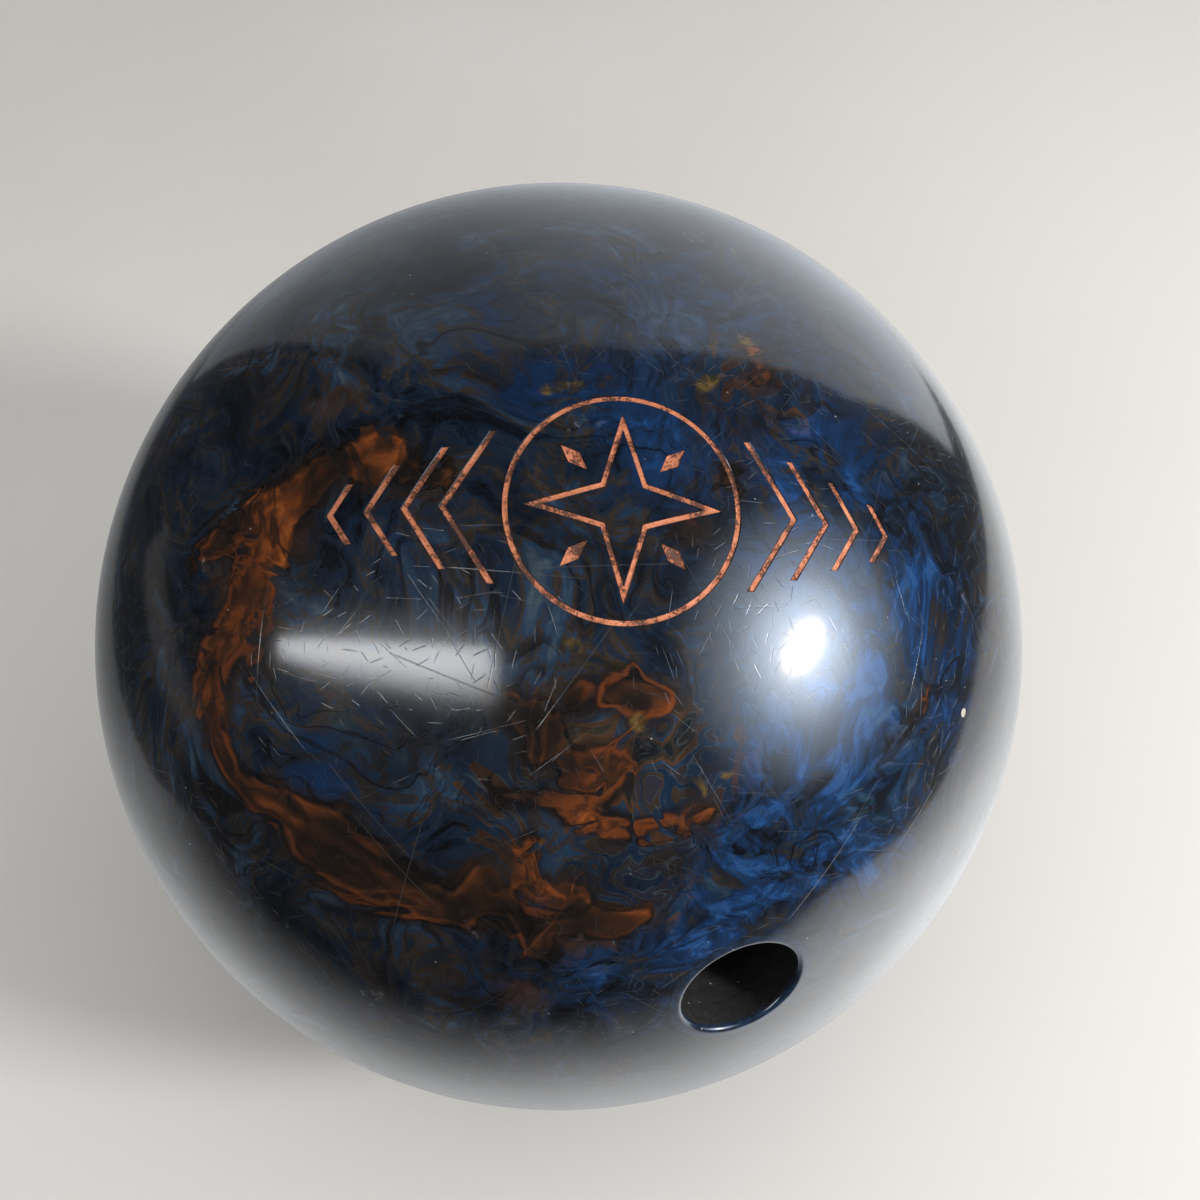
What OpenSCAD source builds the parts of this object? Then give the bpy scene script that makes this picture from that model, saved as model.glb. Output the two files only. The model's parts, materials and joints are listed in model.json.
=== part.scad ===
// Ten-pin bowling ball, drilled and fitted, as an assembly of its cast,
// bonded and pressed-in pieces.
//
// Frame: origin at the centre of the ball, +Z up, millimetres. The ball is
// placed as it rests on a table, with its thumb hole low at the front (-Y)
// and its finger holes on the +X side. The thumb hole points at the centre of
// the ball. Each finger hole has lateral pitch: its axis passes the centre on
// its own side, so that the two holes stay apart all the way down.
//
// A direction on the ball is given by two angles: azimuth (az), counted from
// +X towards +Y, and elevation (el), counted up from the equator.

/* [Ball] */
// Outside diameter of the ball
ball_d = 217; // [215.9:0.1:218.3]
// Radial thickness of the cast outer shell
cover_t = 19.5; // [17:0.5:21]

/* [Thumb hole] */
// Azimuth of the thumb hole
thumb_az = -70.1; // [-75:0.1:-65]
// Elevation of the thumb hole
thumb_el = 14.4; // [10:0.1:18]
// Diameter of the thumb bore
thumb_d = 23.5; // [21:0.1:25]
// Depth of the thumb bore, from the surface of the ball
thumb_depth = 64; // [56:1:66]
// Outside diameter of the thumb slug
slug_d = 28.6; // [28.4:0.1:31.8]
// Length of the thumb slug
slug_len = 70; // [68:1:74]
// Radius of the rounded edge at the mouth of the thumb bore
thumb_edge_r = 1.0; // [1:0.1:2]
// Thickness of the adhesive around and under the slug
slug_glue_t = 0.25; // [0.2:0.05:0.4]

/* [Finger holes] */
// Azimuth of the point midway between the finger holes
finger_az = -2.4; // [-6:0.1:2]
// Elevation of the point midway between the finger holes
finger_el = 1.4; // [-2:0.1:4]
// Distance between the two finger holes, centre to centre, on the surface
finger_gap = 31.4; // [31:0.1:33]
// Lateral pitch: how far each finger hole's axis passes the ball's centre
lateral_pitch = 11.1; // [11:0.1:15]
// Lean of the line between the finger holes, from vertical towards +Y
finger_lean = 15; // [8:1:22]
// Outside diameter of a finger grip
grip_d = 24.6; // [23.8:0.1:24.8]
// Bore of a finger grip
grip_bore_d = 19.5; // [17.5:0.1:20.5]
// Length of a finger grip
grip_len = 35; // [30:1:40]
// Depth of a finger hole, from the surface of the ball
finger_depth = 54; // [48:1:56]
// How far the mouth of a grip sits below the surface of the ball
grip_sink = 0.5; // [0.2:0.1:1]
// Radius of the rounded edge at the mouth of a grip
grip_edge_r = 1.4; // [0.8:0.1:1.6]
// Radius of the rounded edge of the shell around a grip
finger_edge_r = 0.8; // [0.5:0.1:1.2]
// Thickness of the adhesive around a grip
grip_glue_t = 0.2; // [0.15:0.05:0.3]

/* [Pin and balance mark] */
// Azimuth of the locator pin
pin_az = 12.5; // [10:0.1:15]
// Elevation of the locator pin
pin_el = 22.4; // [22:0.1:26]
// Diameter of the locator pin
pin_d = 11; // [9:0.5:12]
// Azimuth of the centre-of-gravity mark
cg_az = -34.1; // [-38:0.1:-30]
// Elevation of the centre-of-gravity mark
cg_el = 28.6; // [25:0.1:32]
// Diameter of the centre-of-gravity mark
cg_d = 1.8; // [1.5:0.1:3]
// Depth of the centre-of-gravity mark
cg_depth = 1.2; // [0.8:0.1:2]

/* [Weight block] */
// Radius of the disc around the middle of the weight block
disc_r = 60; // [54:1:62]
// Thickness of that disc
disc_t = 28; // [22:1:32]
// Radius of the bulb on the pin side
top_bulb_r = 45; // [38:1:46]
// Height of the centre of that bulb above the middle of the ball
top_bulb_z = 22; // [18:1:24]
// Radius of the bulb on the far side
low_bulb_r = 42; // [36:1:44]
// Depth of the centre of that bulb below the middle of the ball
low_bulb_z = 24; // [20:1:28]

/* [Emblem] */
// Azimuth of the middle of the engraved emblem
emblem_az = -72.5; // [-76:0.1:-68]
// Elevation of the middle of the engraved emblem
emblem_el = 66.1; // [62:0.1:70]
// Turn of the emblem about its own middle
emblem_turn = 73.9; // [65:0.1:80]
// Depth of the engraved lines
groove_depth = 0.7; // [0.5:0.1:1]
// Width of the engraved lines
line_w = 0.9; // [0.7:0.1:1.2]
// How far the paint lies below the surface of the ball
paint_sink = 0.2; // [0.1:0.05:0.3]
// Radius of the emblem's ring
ring_r = 20; // [18:0.5:21]

/* [Hidden] */
$fn = 144;

// Radii
ball_r = ball_d / 2;
core_r = ball_r - cover_t;
thumb_r = thumb_d / 2;
slug_r = slug_d / 2;
slug_hole_r = slug_r + slug_glue_t;
grip_r = grip_d / 2;
grip_bore_r = grip_bore_d / 2;
grip_hole_r = grip_r + grip_glue_t;
pin_r = pin_d / 2;
cg_r = cg_d / 2;
grip_mouth_r = ball_r - grip_sink;  // sphere on which the grips' mouths lie

// Inner ends, as distances from the ball's centre along each axis
thumb_floor = ball_r - thumb_depth;
slug_floor = ball_r - slug_len;
slug_hole_floor = slug_floor - slug_glue_t;
finger_floor = ball_r - finger_depth;
grip_floor = grip_mouth_r - grip_len;
cg_floor = ball_r - cg_depth;
pin_overlap = 6;                    // start of the pin, below the bulb's crown
pin_start = top_bulb_z + top_bulb_r - pin_overlap;
cover_pin_start = core_r - 8;       // start of the shell's pin hole, inside the core
grip_glue_sink = 0.6;               // outer end of the adhesive, below the grip's mouth

// Half the angle between the finger holes, and the turn that pitches each one
finger_half = asin(finger_gap / 2 / ball_r);
pitch_turn = asin(lateral_pitch / ball_r);

// Drill-point cone at the end of a bore
tip_h = 2.2;
tip_end_r = 1;
tip_overlap = 0.01;

// Start of a pitched hole's mouth cutter, inside and below the rounding
lip_inset = 0.45;
lip_drop = 0.2;

cutter_rise = 3;    // rise of a cutter above the sphere it opens
stock_rise = 2;     // rise of a piece above the ball before it is trimmed

// ---------------------------------------------------------------- placing

// Turns +Z towards the direction (az, el).
module aim(az, el) rotate([0, 90 - el, az]) children();

// Places something at the mouth of a finger hole, with +Z along the ball's
// radius: side +1 is the ring finger's (upper) hole, side -1 the middle
// finger's (lower) hole.
module at_mouth(side)
    aim(finger_az, finger_el)
        rotate([0, 0, -finger_lean])
            rotate([0, -side * finger_half, 0])
                children();

// The same, with +Z along the hole's own, pitched axis.
module at_finger(side)
    at_mouth(side)
        translate([0, 0, ball_r])
            rotate([0, side * pitch_turn, 0])
                translate([0, 0, -ball_r])
                    children();

// ----------------------------------------------------------- basic solids

// A sphere whose seam lies at the back left, clear of every hole.
module ball(radius) rotate([0, 0, 150]) sphere(radius);

// A cylinder on the axis, between two heights.
module rod(radius, bottom, top)
    translate([0, 0, bottom]) cylinder(r = radius, h = top - bottom);

// A plain drilled hole, from a floor out past the ball's surface.
module drill(radius, floor_z) rod(radius, floor_z, ball_r + cutter_rise);

// A blind bore's drill-point cone, wide end at z.
module drill_tip(radius, z)
    translate([0, 0, z - tip_h])
        cylinder(r1 = tip_end_r, r2 = radius, h = tip_h + tip_overlap);

// Height of a sphere over a point x from the axis.
function dome(sphere_r, x) = sqrt(sphere_r * sphere_r - x * x);

// Cutter for a hole with a rounded mouth in a sphere, from a floor outwards.
// The rounding touches both the hole's wall and the sphere.
module mouth_cut(sphere_r, hole_r, edge_r, floor_z) {
    edge_x = hole_r + edge_r;
    edge_z = dome(sphere_r - edge_r, edge_x);
    touch = sphere_r / (sphere_r - edge_r) * [edge_x, edge_z];
    top = sphere_r + cutter_rise;
    rotate_extrude()
        difference() {
            polygon([[0, floor_z], [hole_r, floor_z], [hole_r, edge_z], [edge_x, edge_z],
                     touch, [touch[0], top], [0, top]]);
            translate([edge_x, edge_z]) circle(edge_r, $fn = 96);
        }
}

// Only the rounded mouth, for a hole whose axis is pitched. It starts a little
// inside the hole's wall, so that the two meet in one clean edge.
module mouth_ring(sphere_r, hole_r, edge_r) {
    start_r = hole_r - lip_inset;
    mouth_cut(sphere_r, start_r, edge_r,
              dome(sphere_r - edge_r, start_r + edge_r) - lip_drop);
}

// ------------------------------------------------------------ drilled holes

module slug_hole() aim(thumb_az, thumb_el) drill(slug_hole_r, slug_hole_floor);

module finger_hole(side) {
    at_finger(side) {
        drill(grip_hole_r, finger_floor);
        drill_tip(grip_hole_r, finger_floor);
    }
    at_mouth(side) mouth_ring(ball_r, grip_hole_r, finger_edge_r);
}

// The thumb's and both fingers' holes, which run through all the castings.
module hand_holes() {
    slug_hole();
    finger_hole(1);
    finger_hole(-1);
}

module pin_hole(start) aim(pin_az, pin_el) drill(pin_r, start);

// -------------------------------------------------------------- the castings

// Solid of revolution of the weight block, before drilling: a disc with a
// rounded rim between a large and a small bulb, on the pin's axis.
module block_solid() {
    rim_r = disc_t / 2;
    rim_x = disc_r - rim_r;
    aim(pin_az, pin_el)
        rotate_extrude()
            intersection() {
                union() {
                    square([rim_x, rim_r]);
                    translate([0, -rim_r]) square([rim_x, rim_r]);
                    translate([rim_x, 0]) circle(rim_r);
                    translate([0, top_bulb_z]) circle(top_bulb_r);
                    translate([0, -low_bulb_z]) circle(low_bulb_r);
                }
                // Keeps the half beside the axis
                translate([0, -2 * ball_r]) square([2 * ball_r, 4 * ball_r]);
            }
}

module coverstock() color("midnightblue")
    difference() {
        ball(ball_r);
        ball(core_r);
        hand_holes();
        pin_hole(cover_pin_start);
        aim(cg_az, cg_el) drill(cg_r, cg_floor);
        emblem_prism(ball_r - groove_depth, ball_r + stock_rise);
    }

module outer_core() color("gainsboro")
    difference() {
        ball(core_r);
        block_solid();
        hand_holes();
        pin_hole(pin_start);
    }

module weight_block() color("goldenrod")
    difference() {
        block_solid();
        hand_holes();
    }

// Rod that held the weight block in the mould; its outer end is turned
// flush with the ball.
module locator_pin() color("darkorange")
    difference() {
        aim(pin_az, pin_el)
            intersection() {
                drill(pin_r, pin_start);
                sphere(ball_r);
            }
        block_solid();
    }

// The small mark has a finer sphere, to end flush on its narrow face.
module cg_marker() color("lightgray")
    aim(cg_az, cg_el)
        intersection() {
            rod(cg_r, cg_floor, ball_r + stock_rise);
            sphere(ball_r, $fn = 720);
        }

// ------------------------------------------------------------- thumb fitting

// A rod from a floor outwards, trimmed flush with the ball.
module flush_rod(radius, floor_z)
    intersection() {
        rod(radius, floor_z, ball_r + stock_rise);
        sphere(ball_r);
    }

module thumb_slug() color([0.1, 0.1, 0.11])
    aim(thumb_az, thumb_el)
        difference() {
            flush_rod(slug_r, slug_floor);
            mouth_cut(ball_r, thumb_r, thumb_edge_r, thumb_floor);
            drill_tip(thumb_r, thumb_floor);
        }

module thumb_slug_adhesive() color("dimgray")
    aim(thumb_az, thumb_el)
        difference() {
            flush_rod(slug_hole_r, slug_hole_floor);
            drill(slug_r, slug_floor);
        }

// ------------------------------------------------------------ finger fittings

// A pitched tube from the grip's inner end out to a sphere.
module finger_tube(side, outer_r, inner_r, sphere_r)
    difference() {
        intersection() {
            at_finger(side) rod(outer_r, grip_floor, grip_mouth_r + cutter_rise);
            ball(sphere_r);
        }
        at_finger(side) drill(inner_r, grip_floor - 1);
    }

module finger_grip(side) color([0.13, 0.13, 0.14])
    difference() {
        finger_tube(side, grip_r, grip_bore_r, grip_mouth_r);
        at_mouth(side) mouth_ring(grip_mouth_r, grip_bore_r, grip_edge_r);
    }

module grip_adhesive(side) color("silver")
    finger_tube(side, grip_hole_r, grip_r, grip_mouth_r - grip_glue_sink);

module ring_finger_grip() finger_grip(1);
module middle_finger_grip() finger_grip(-1);
module ring_grip_adhesive() grip_adhesive(1);
module middle_grip_adhesive() grip_adhesive(-1);

// -------------------------------------------------------------------- emblem

star_tip_r = ring_r - 3;
star_notch_r = 5.6;
lozenge_x = ring_r * 0.6;       // distance of a lozenge from the middle
lozenge_half = [3.2, 1.3];      // half length and half width of a lozenge
chevron_sweep = 0.62;           // backward run of an arm per unit of its height
chevron_w = 1.25 * line_w;      // width of a chevron's line, along x
// Chevrons beside the ring: [distance of the tip from the middle, half height]
chevrons = [for (i = [0 : 3]) [ring_r + 11 + 6.4 * i, 13.5 - 2.7 * i]];
flat_drop = 25;                 // start of the extrusion, below the ball's surface
flat_h = 30;                    // height of the extrusion

// Line star with four tips; its inner edge is its outer edge scaled down.
module star_outline() {
    points = [for (i = [0 : 7])
        (i % 2 == 0 ? star_tip_r : star_notch_r) * [cos(45 * i), sin(45 * i)]];
    side_len = norm(points[0] - points[1]);
    // Distance of each side's line from the middle
    side_dist = star_tip_r * star_notch_r * sin(45) / side_len;
    difference() {
        polygon(points);
        polygon(points * (1 - line_w / side_dist));
    }
}

module lozenge(half_len, half_w)
    polygon([[half_len, 0], [0, half_w], [-half_len, 0], [0, -half_w]]);

module chevron(tip_x, half_h) {
    end_x = tip_x - chevron_sweep * half_h;
    polygon([[tip_x, 0], [end_x, half_h], [end_x - chevron_w, half_h],
             [tip_x - chevron_w, 0],
             [end_x - chevron_w, -half_h], [end_x, -half_h]]);
}

// Flat outline of the emblem: a ring, a four-pointed star and four small
// lozenges inside it, and four chevrons on each side. No line crosses another.
module emblem_flat() {
    difference() {
        circle(ring_r + line_w / 2);
        circle(ring_r - line_w / 2);
    }
    star_outline();
    for (i = [0 : 3])
        rotate([0, 0, 45 + 90 * i])
            translate([lozenge_x, 0])
                lozenge(lozenge_half[0], lozenge_half[1]);
    for (c = chevrons) {
        chevron(c[0], c[1]);
        mirror([1, 0]) chevron(c[0], c[1]);
    }
}

// The emblem as solids between two spheres.
module emblem_prism(inner_r, outer_r)
    aim(emblem_az, emblem_el)
        rotate([0, 0, emblem_turn])
            difference() {
                intersection() {
                    translate([0, 0, ball_r - flat_drop])
                        linear_extrude(height = flat_h) emblem_flat();
                    sphere(outer_r);
                }
                sphere(inner_r);
            }

module emblem_paint() color("sienna")
    emblem_prism(ball_r - groove_depth, ball_r - paint_sink);

// --------------------------------------------------------------------- output

coverstock();
outer_core();
weight_block();
locator_pin();
cg_marker();
thumb_slug();
thumb_slug_adhesive();
ring_finger_grip();
middle_finger_grip();
ring_grip_adhesive();
middle_grip_adhesive();
emblem_paint();
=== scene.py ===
"""Looks of the drilled bowling ball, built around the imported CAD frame.

Shapes are worked out in millimetres and stored in metres. The origin is the
centre of the ball, +Z up, as in the frame.
"""

import json
import math

import bmesh
import bpy
import numpy as np
from mathutils import Matrix, Vector, noise
from mathutils.geometry import tessellate_polygon

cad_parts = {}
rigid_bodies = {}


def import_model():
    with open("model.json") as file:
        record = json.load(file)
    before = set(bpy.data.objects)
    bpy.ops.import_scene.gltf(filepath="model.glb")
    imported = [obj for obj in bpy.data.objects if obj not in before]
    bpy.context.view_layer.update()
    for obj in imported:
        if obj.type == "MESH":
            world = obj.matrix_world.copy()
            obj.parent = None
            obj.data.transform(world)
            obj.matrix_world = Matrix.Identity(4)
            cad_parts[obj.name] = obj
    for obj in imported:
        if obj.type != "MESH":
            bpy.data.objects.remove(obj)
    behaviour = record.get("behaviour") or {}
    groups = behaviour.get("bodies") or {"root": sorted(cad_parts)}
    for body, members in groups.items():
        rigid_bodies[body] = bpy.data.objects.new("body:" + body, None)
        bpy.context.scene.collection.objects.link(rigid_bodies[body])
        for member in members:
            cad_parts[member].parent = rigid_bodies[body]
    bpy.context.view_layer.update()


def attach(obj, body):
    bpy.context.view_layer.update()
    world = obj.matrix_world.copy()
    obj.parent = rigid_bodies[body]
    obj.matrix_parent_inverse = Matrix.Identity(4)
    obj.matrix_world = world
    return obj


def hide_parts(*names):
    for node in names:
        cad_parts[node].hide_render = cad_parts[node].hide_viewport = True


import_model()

MM = 0.001
R = 108.5            # ball radius
RC = 89.0            # radius of the filler core
SLUG_A, SLUG_HOLE_A, SLUG_LEN, SLUG_GLUE = 14.3, 14.55, 70.0, 0.25
THUMB_A, THUMB_DEPTH, THUMB_EDGE = 11.75, 64.0, 1.0
GRIP_A, GRIP_HOLE_A, GRIP_BORE_A, GRIP_LEN = 12.3, 12.5, 9.75, 35.0
GRIP_SINK, GRIP_EDGE, HOLE_EDGE = 0.5, 1.4, 0.8
PIN_A, PIN_FLOOR = 5.5, 67.0
CG_A, CG_DEPTH = 0.9, 1.2
GROOVE, PAINT_SINK, LINE_W, RING_R = 0.7, 0.2, 0.9, 20.0


# ---------------------------------------------------------------- directions

def rot_z(a):
    c, s = math.cos(math.radians(a)), math.sin(math.radians(a))
    return np.array([[c, -s, 0], [s, c, 0], [0, 0, 1.0]])


def rot_y(a):
    c, s = math.cos(math.radians(a)), math.sin(math.radians(a))
    return np.array([[c, 0, s], [0, 1.0, 0], [-s, 0, c]])


def aim(az, el):
    return rot_z(az) @ rot_y(90 - el)


def unit(v):
    v = np.asarray(v, float)
    return v / np.linalg.norm(v, axis=-1, keepdims=True)


class Hole:
    """A drilled hole: mouth centre m on the ball, outward axis d, and two directions across it."""

    def __init__(self, mouth_frame, turn=0.0):
        f = mouth_frame
        g = f @ rot_y(turn)
        self.m = f @ np.array([0, 0, R])
        self.e1, self.e2, self.d = g[:, 0], g[:, 1], g[:, 2]

    def at(self, x, ang, z):
        """Point at distance x from the axis, at angle ang, at height z counted like the CAD's (z = R at the mouth)."""
        e = np.outer(np.cos(ang), self.e1) + np.outer(np.sin(ang), self.e2)
        return self.m + e * np.reshape(x, (-1, 1)) + np.outer(np.zeros(len(ang)) + z - R, self.d)

    def height(self, x, ang, r):
        """Height at which a line at distance x from the axis leaves the sphere of radius r."""
        p = self.at(x, ang, R)
        b = p @ self.d
        c = (p * p).sum(1) - r * r
        return R - b + np.sqrt(b * b - c)

    def local(self, p):
        q = p - self.m
        s = q @ self.d
        v = q - np.outer(s, self.d)
        rad = np.linalg.norm(v, axis=1)
        return rad, np.arctan2(v @ self.e2, v @ self.e1), s + R


THUMB = Hole(aim(-70.1, 14.4))
_half = math.degrees(math.asin(31.4 / 2 / R))
_turn = math.degrees(math.asin(11.1 / R))
_fing = aim(-2.4, 1.4) @ rot_z(-15)
RING = Hole(_fing @ rot_y(-_half), _turn)
MIDDLE = Hole(_fing @ rot_y(_half), -_turn)
PIN = Hole(aim(12.5, 22.4))
CG = Hole(aim(-34.1, 28.6))
EMBLEM = aim(-72.5, 66.1) @ rot_z(73.9)


# ------------------------------------------------------------- mesh building

def new_mesh(name, verts_mm, faces, smooth=True):
    me = bpy.data.meshes.new(name)
    me.from_pydata((np.asarray(verts_mm, float) * MM).tolist(), [], faces)
    me.validate()
    me.update()
    me.polygons.foreach_set("use_smooth", [smooth] * len(me.polygons))
    return me


def new_object(name, me):
    o = bpy.data.objects.new(name, me)
    bpy.context.scene.collection.objects.link(o)
    return o


def outward(me):
    bm = bmesh.new()
    bm.from_mesh(me)
    bmesh.ops.recalc_face_normals(bm, faces=bm.faces)
    bm.to_mesh(me)
    bm.free()
    me.update()


def skin(rings, closed, cap_first=False, cap_last=False):
    """Vertices and faces of a tube through rings of equal point counts. Caps are fans about a centre point."""
    n = len(rings[0])
    verts = np.concatenate(rings)
    faces = []
    k = len(rings)
    for i in range(k if closed else k - 1):
        a, b = i * n, ((i + 1) % k) * n
        for j in range(n):
            j2 = (j + 1) % n
            faces.append((a + j, a + j2, b + j2, b + j))
    for want, ring, base in ((cap_first, rings[0], 0), (cap_last, rings[-1], (k - 1) * n)):
        if want is False:
            continue
        c = ring.mean(0) if want is True else np.asarray(want, float)
        verts = np.vstack([verts, c])
        ci = len(verts) - 1
        for j in range(n):
            faces.append((base + j, base + (j + 1) % n, ci))
    return verts, faces


def angles(n):
    return np.arange(n) * 2 * math.pi / n


def edge_rings(h, a, b, r, n, steps):
    """Rings of the rounded mouth of hole h, from the wall at distance a to the sphere r: a ball of radius b rolled round the edge."""
    ang = angles(n)
    e = np.outer(np.cos(ang), h.e1) + np.outer(np.sin(ang), h.e2)
    z = h.height(a + b, ang, r - b)
    c = h.at(np.full(n, a + b), ang, z)
    u, v = -e, unit(c)
    om = np.arccos(np.clip((u * v).sum(1), -1, 1))[:, None]
    out = []
    for i in range(steps + 1):
        t = i / steps
        w = (np.sin((1 - t) * om) * u + np.sin(t * om) * v) / np.sin(om)
        out.append(c + b * w)
    return out, c


def cube_sphere(n, r):
    """A sphere of six n x n patches with evenly turned spacing."""
    t = np.tan(np.linspace(-math.pi / 4, math.pi / 4, n + 1))
    x, y = np.meshgrid(t, t, indexing="ij")
    o = np.ones_like(x)
    verts, faces = [], []
    for k, (p, q, w) in enumerate(((x, y, o), (-x, y, -o), (o, x, y), (-o, -x, y), (y, o, x), (y, -o, -x))):
        base = k * (n + 1) ** 2
        verts.append(unit(np.stack([p.ravel(), q.ravel(), w.ravel()], 1)) * r)
        i, j = np.meshgrid(np.arange(n), np.arange(n), indexing="ij")
        a = base + i * (n + 1) + j
        quad = np.stack([a, a + n + 1, a + n + 2, a + 1], -1).reshape(-1, 4)
        faces.append(quad)
    verts, faces = np.concatenate(verts), np.concatenate(faces)
    key = np.round(verts, 5)
    _, first, inv = np.unique(key, axis=0, return_index=True, return_inverse=True)
    inv = inv.reshape(-1)
    verts, faces = verts[first], inv[faces]
    c = verts[faces].mean(1)
    nrm = np.cross(verts[faces[:, 1]] - verts[faces[:, 0]], verts[faces[:, 2]] - verts[faces[:, 0]])
    flip = (nrm * c).sum(1) < 0
    faces[flip] = faces[flip][:, ::-1]
    return verts, faces


def mm_object(name, verts, faces):
    """An object kept in millimetres, for booleans."""
    me = bpy.data.meshes.new(name)
    me.from_pydata(np.asarray(verts, float).tolist(), [], [tuple(int(x) for x in f) for f in faces])
    me.validate()
    me.update()
    return new_object(name, me)


# -------------------------------------------------------------------- emblem

def circle2(r, n=200):
    a = angles(n)
    return np.stack([r * np.cos(a), r * np.sin(a)], 1)


def offset2(poly, d):
    """Counter-clockwise closed polygon moved outwards by d, with mitred corners."""
    p = np.asarray(poly, float)
    e = np.roll(p, -1, 0) - p
    nrm = np.stack([e[:, 1], -e[:, 0]], 1)
    nrm /= np.linalg.norm(nrm, axis=1, keepdims=True)
    a, b = np.roll(nrm, 1, 0), nrm
    k = 1 + (a * b).sum(1, keepdims=True)
    return p + d * (a + b) / np.maximum(k, 0.25)


def ccw(p):
    p = np.asarray(p, float)
    q = np.roll(p, -1, 0)
    return p if (p[:, 0] * q[:, 1] - q[:, 0] * p[:, 1]).sum() > 0 else p[::-1].copy()


def fine2(poly, counts):
    p = np.asarray(poly, float)
    out = []
    for i, c in enumerate(counts):
        a, b = p[i], p[(i + 1) % len(p)]
        for j in range(c):
            out.append(a + (b - a) * j / c)
    return np.array(out)


def counts2(poly, step):
    p = np.asarray(poly, float)
    return [max(1, int(math.ceil(np.linalg.norm(p[(i + 1) % len(p)] - p[i]) / step))) for i in range(len(p))]


def on_ball(p2, r):
    """Points of the flat emblem carried straight down onto the sphere of radius r."""
    z = np.sqrt(np.asarray(r) ** 2 - (p2 ** 2).sum(1))
    return np.stack([p2[:, 0], p2[:, 1], z], 1) @ EMBLEM.T


def emblem_shapes():
    """List of (outer polygon, inner polygon or None)."""
    w = LINE_W
    shapes = [(circle2(RING_R + w / 2), circle2(RING_R - w / 2))]
    p, q = RING_R - 3, 5.6
    star = np.array([[(p if i % 2 == 0 else q) * math.cos(math.radians(45 * i)),
                      (p if i % 2 == 0 else q) * math.sin(math.radians(45 * i))] for i in range(8)])
    edge = p * q * math.sin(math.radians(45)) / math.sqrt(p * p + q * q - 2 * p * q * math.cos(math.radians(45)))
    shapes.append((star, star * (1 - w / edge)))
    for i in range(4):
        c, s = math.cos(math.radians(45 + 90 * i)), math.sin(math.radians(45 + 90 * i))
        l = np.array([[3.2, 0], [0, 1.3], [-3.2, 0], [0, -1.3]]) + [RING_R * 0.6, 0]
        shapes.append((ccw(l @ np.array([[c, s], [-s, c]])), None))
    for i in range(4):
        x, h = RING_R + 11 + 6.4 * i, 13.5 - 2.7 * i
        v = np.array([[x, 0], [x - 0.62 * h, h], [x - 0.62 * h - 1.25 * w, h], [x - 1.25 * w, 0],
                      [x - 0.62 * h - 1.25 * w, -h], [x - 0.62 * h, -h]])
        shapes.append((ccw(v), None))
        shapes.append((ccw(v * [-1, 1]), None))
    return shapes


def emblem_solid(levels, rough=0.0, step=0.8):
    """Closed solids between the given (offset, radius) levels, lowest first."""
    V, F = [], []
    base = 0
    for outer, inner in emblem_shapes():
        big = len(outer) > 20
        co = [1] * len(outer) if big else counts2(outer, step)
        loops = []
        for d, r in levels:
            lo = fine2(offset2(outer, d), co)
            li = None if inner is None else fine2(offset2(inner, -d), co)
            loops.append((lo, li, r))
        n = len(loops[0][0])
        m = len(levels)

        def lift(p2, r):
            if rough:
                k = np.array([noise.noise(Vector((x * 0.9, y * 0.9, 3.1))) for x, y in p2])
                j = np.array([noise.noise(Vector((x * 0.16, y * 0.16, 7.7))) for x, y in p2])
                r = r - rough * np.clip(0.45 + 0.5 * k + 1.5 * j, 0, 1.6)
            return on_ball(p2, r)

        rings = [lift(lo, r) if i >= m - 2 and rough else on_ball(lo, np.full(n, r)) for i, (lo, _, r) in enumerate(loops)]
        if inner is not None:
            ins = [lift(li, r) if i >= m - 2 and rough else on_ball(li, np.full(n, r)) for i, (_, li, r) in enumerate(loops)]
            rings = rings + ins[::-1]
            k = len(rings)
            for a in range(k):
                b = (a + 1) % k
                for j in range(n):
                    j2 = (j + 1) % n
                    F.append((base + a * n + j, base + a * n + j2, base + b * n + j2, base + b * n + j))
            V.append(np.concatenate(rings))
            base += k * n
        else:
            for a in range(m - 1):
                for j in range(n):
                    j2 = (j + 1) % n
                    F.append((base + a * n + j, base + a * n + j2, base + (a + 1) * n + j2, base + (a + 1) * n + j))
            for which in (0, m - 1):
                tris = tessellate_polygon([[Vector((x, y, 0)) for x, y in loops[which][0]]])
                for t in tris:
                    F.append(tuple(base + which * n + i for i in (t if which else t[::-1])))
            V.append(np.concatenate(rings))
            base += m * n
    return np.concatenate(V), F


# ---------------------------------------------------------------- coverstock

def join_parts(parts):
    V, F, base = [], [], 0
    for v, f in parts:
        V.append(v)
        F += [tuple(int(i) + base for i in t) for t in f]
        base += len(v)
    return np.concatenate(V), F


def hole_cutter(h, a, b, r, z_in, n=160, steps=10):
    ang = angles(n)
    rings = [h.at(np.full(n, a), ang, np.full(n, z_in))]
    if b:
        arc, _ = edge_rings(h, a, b, r, n, steps)
        rings += arc
        rings.append(unit(arc[-1]) * (r + 3))
    else:
        rings.append(h.at(np.full(n, a), ang, np.full(n, R + 3)))
    return skin(rings, False, True, True)


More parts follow.
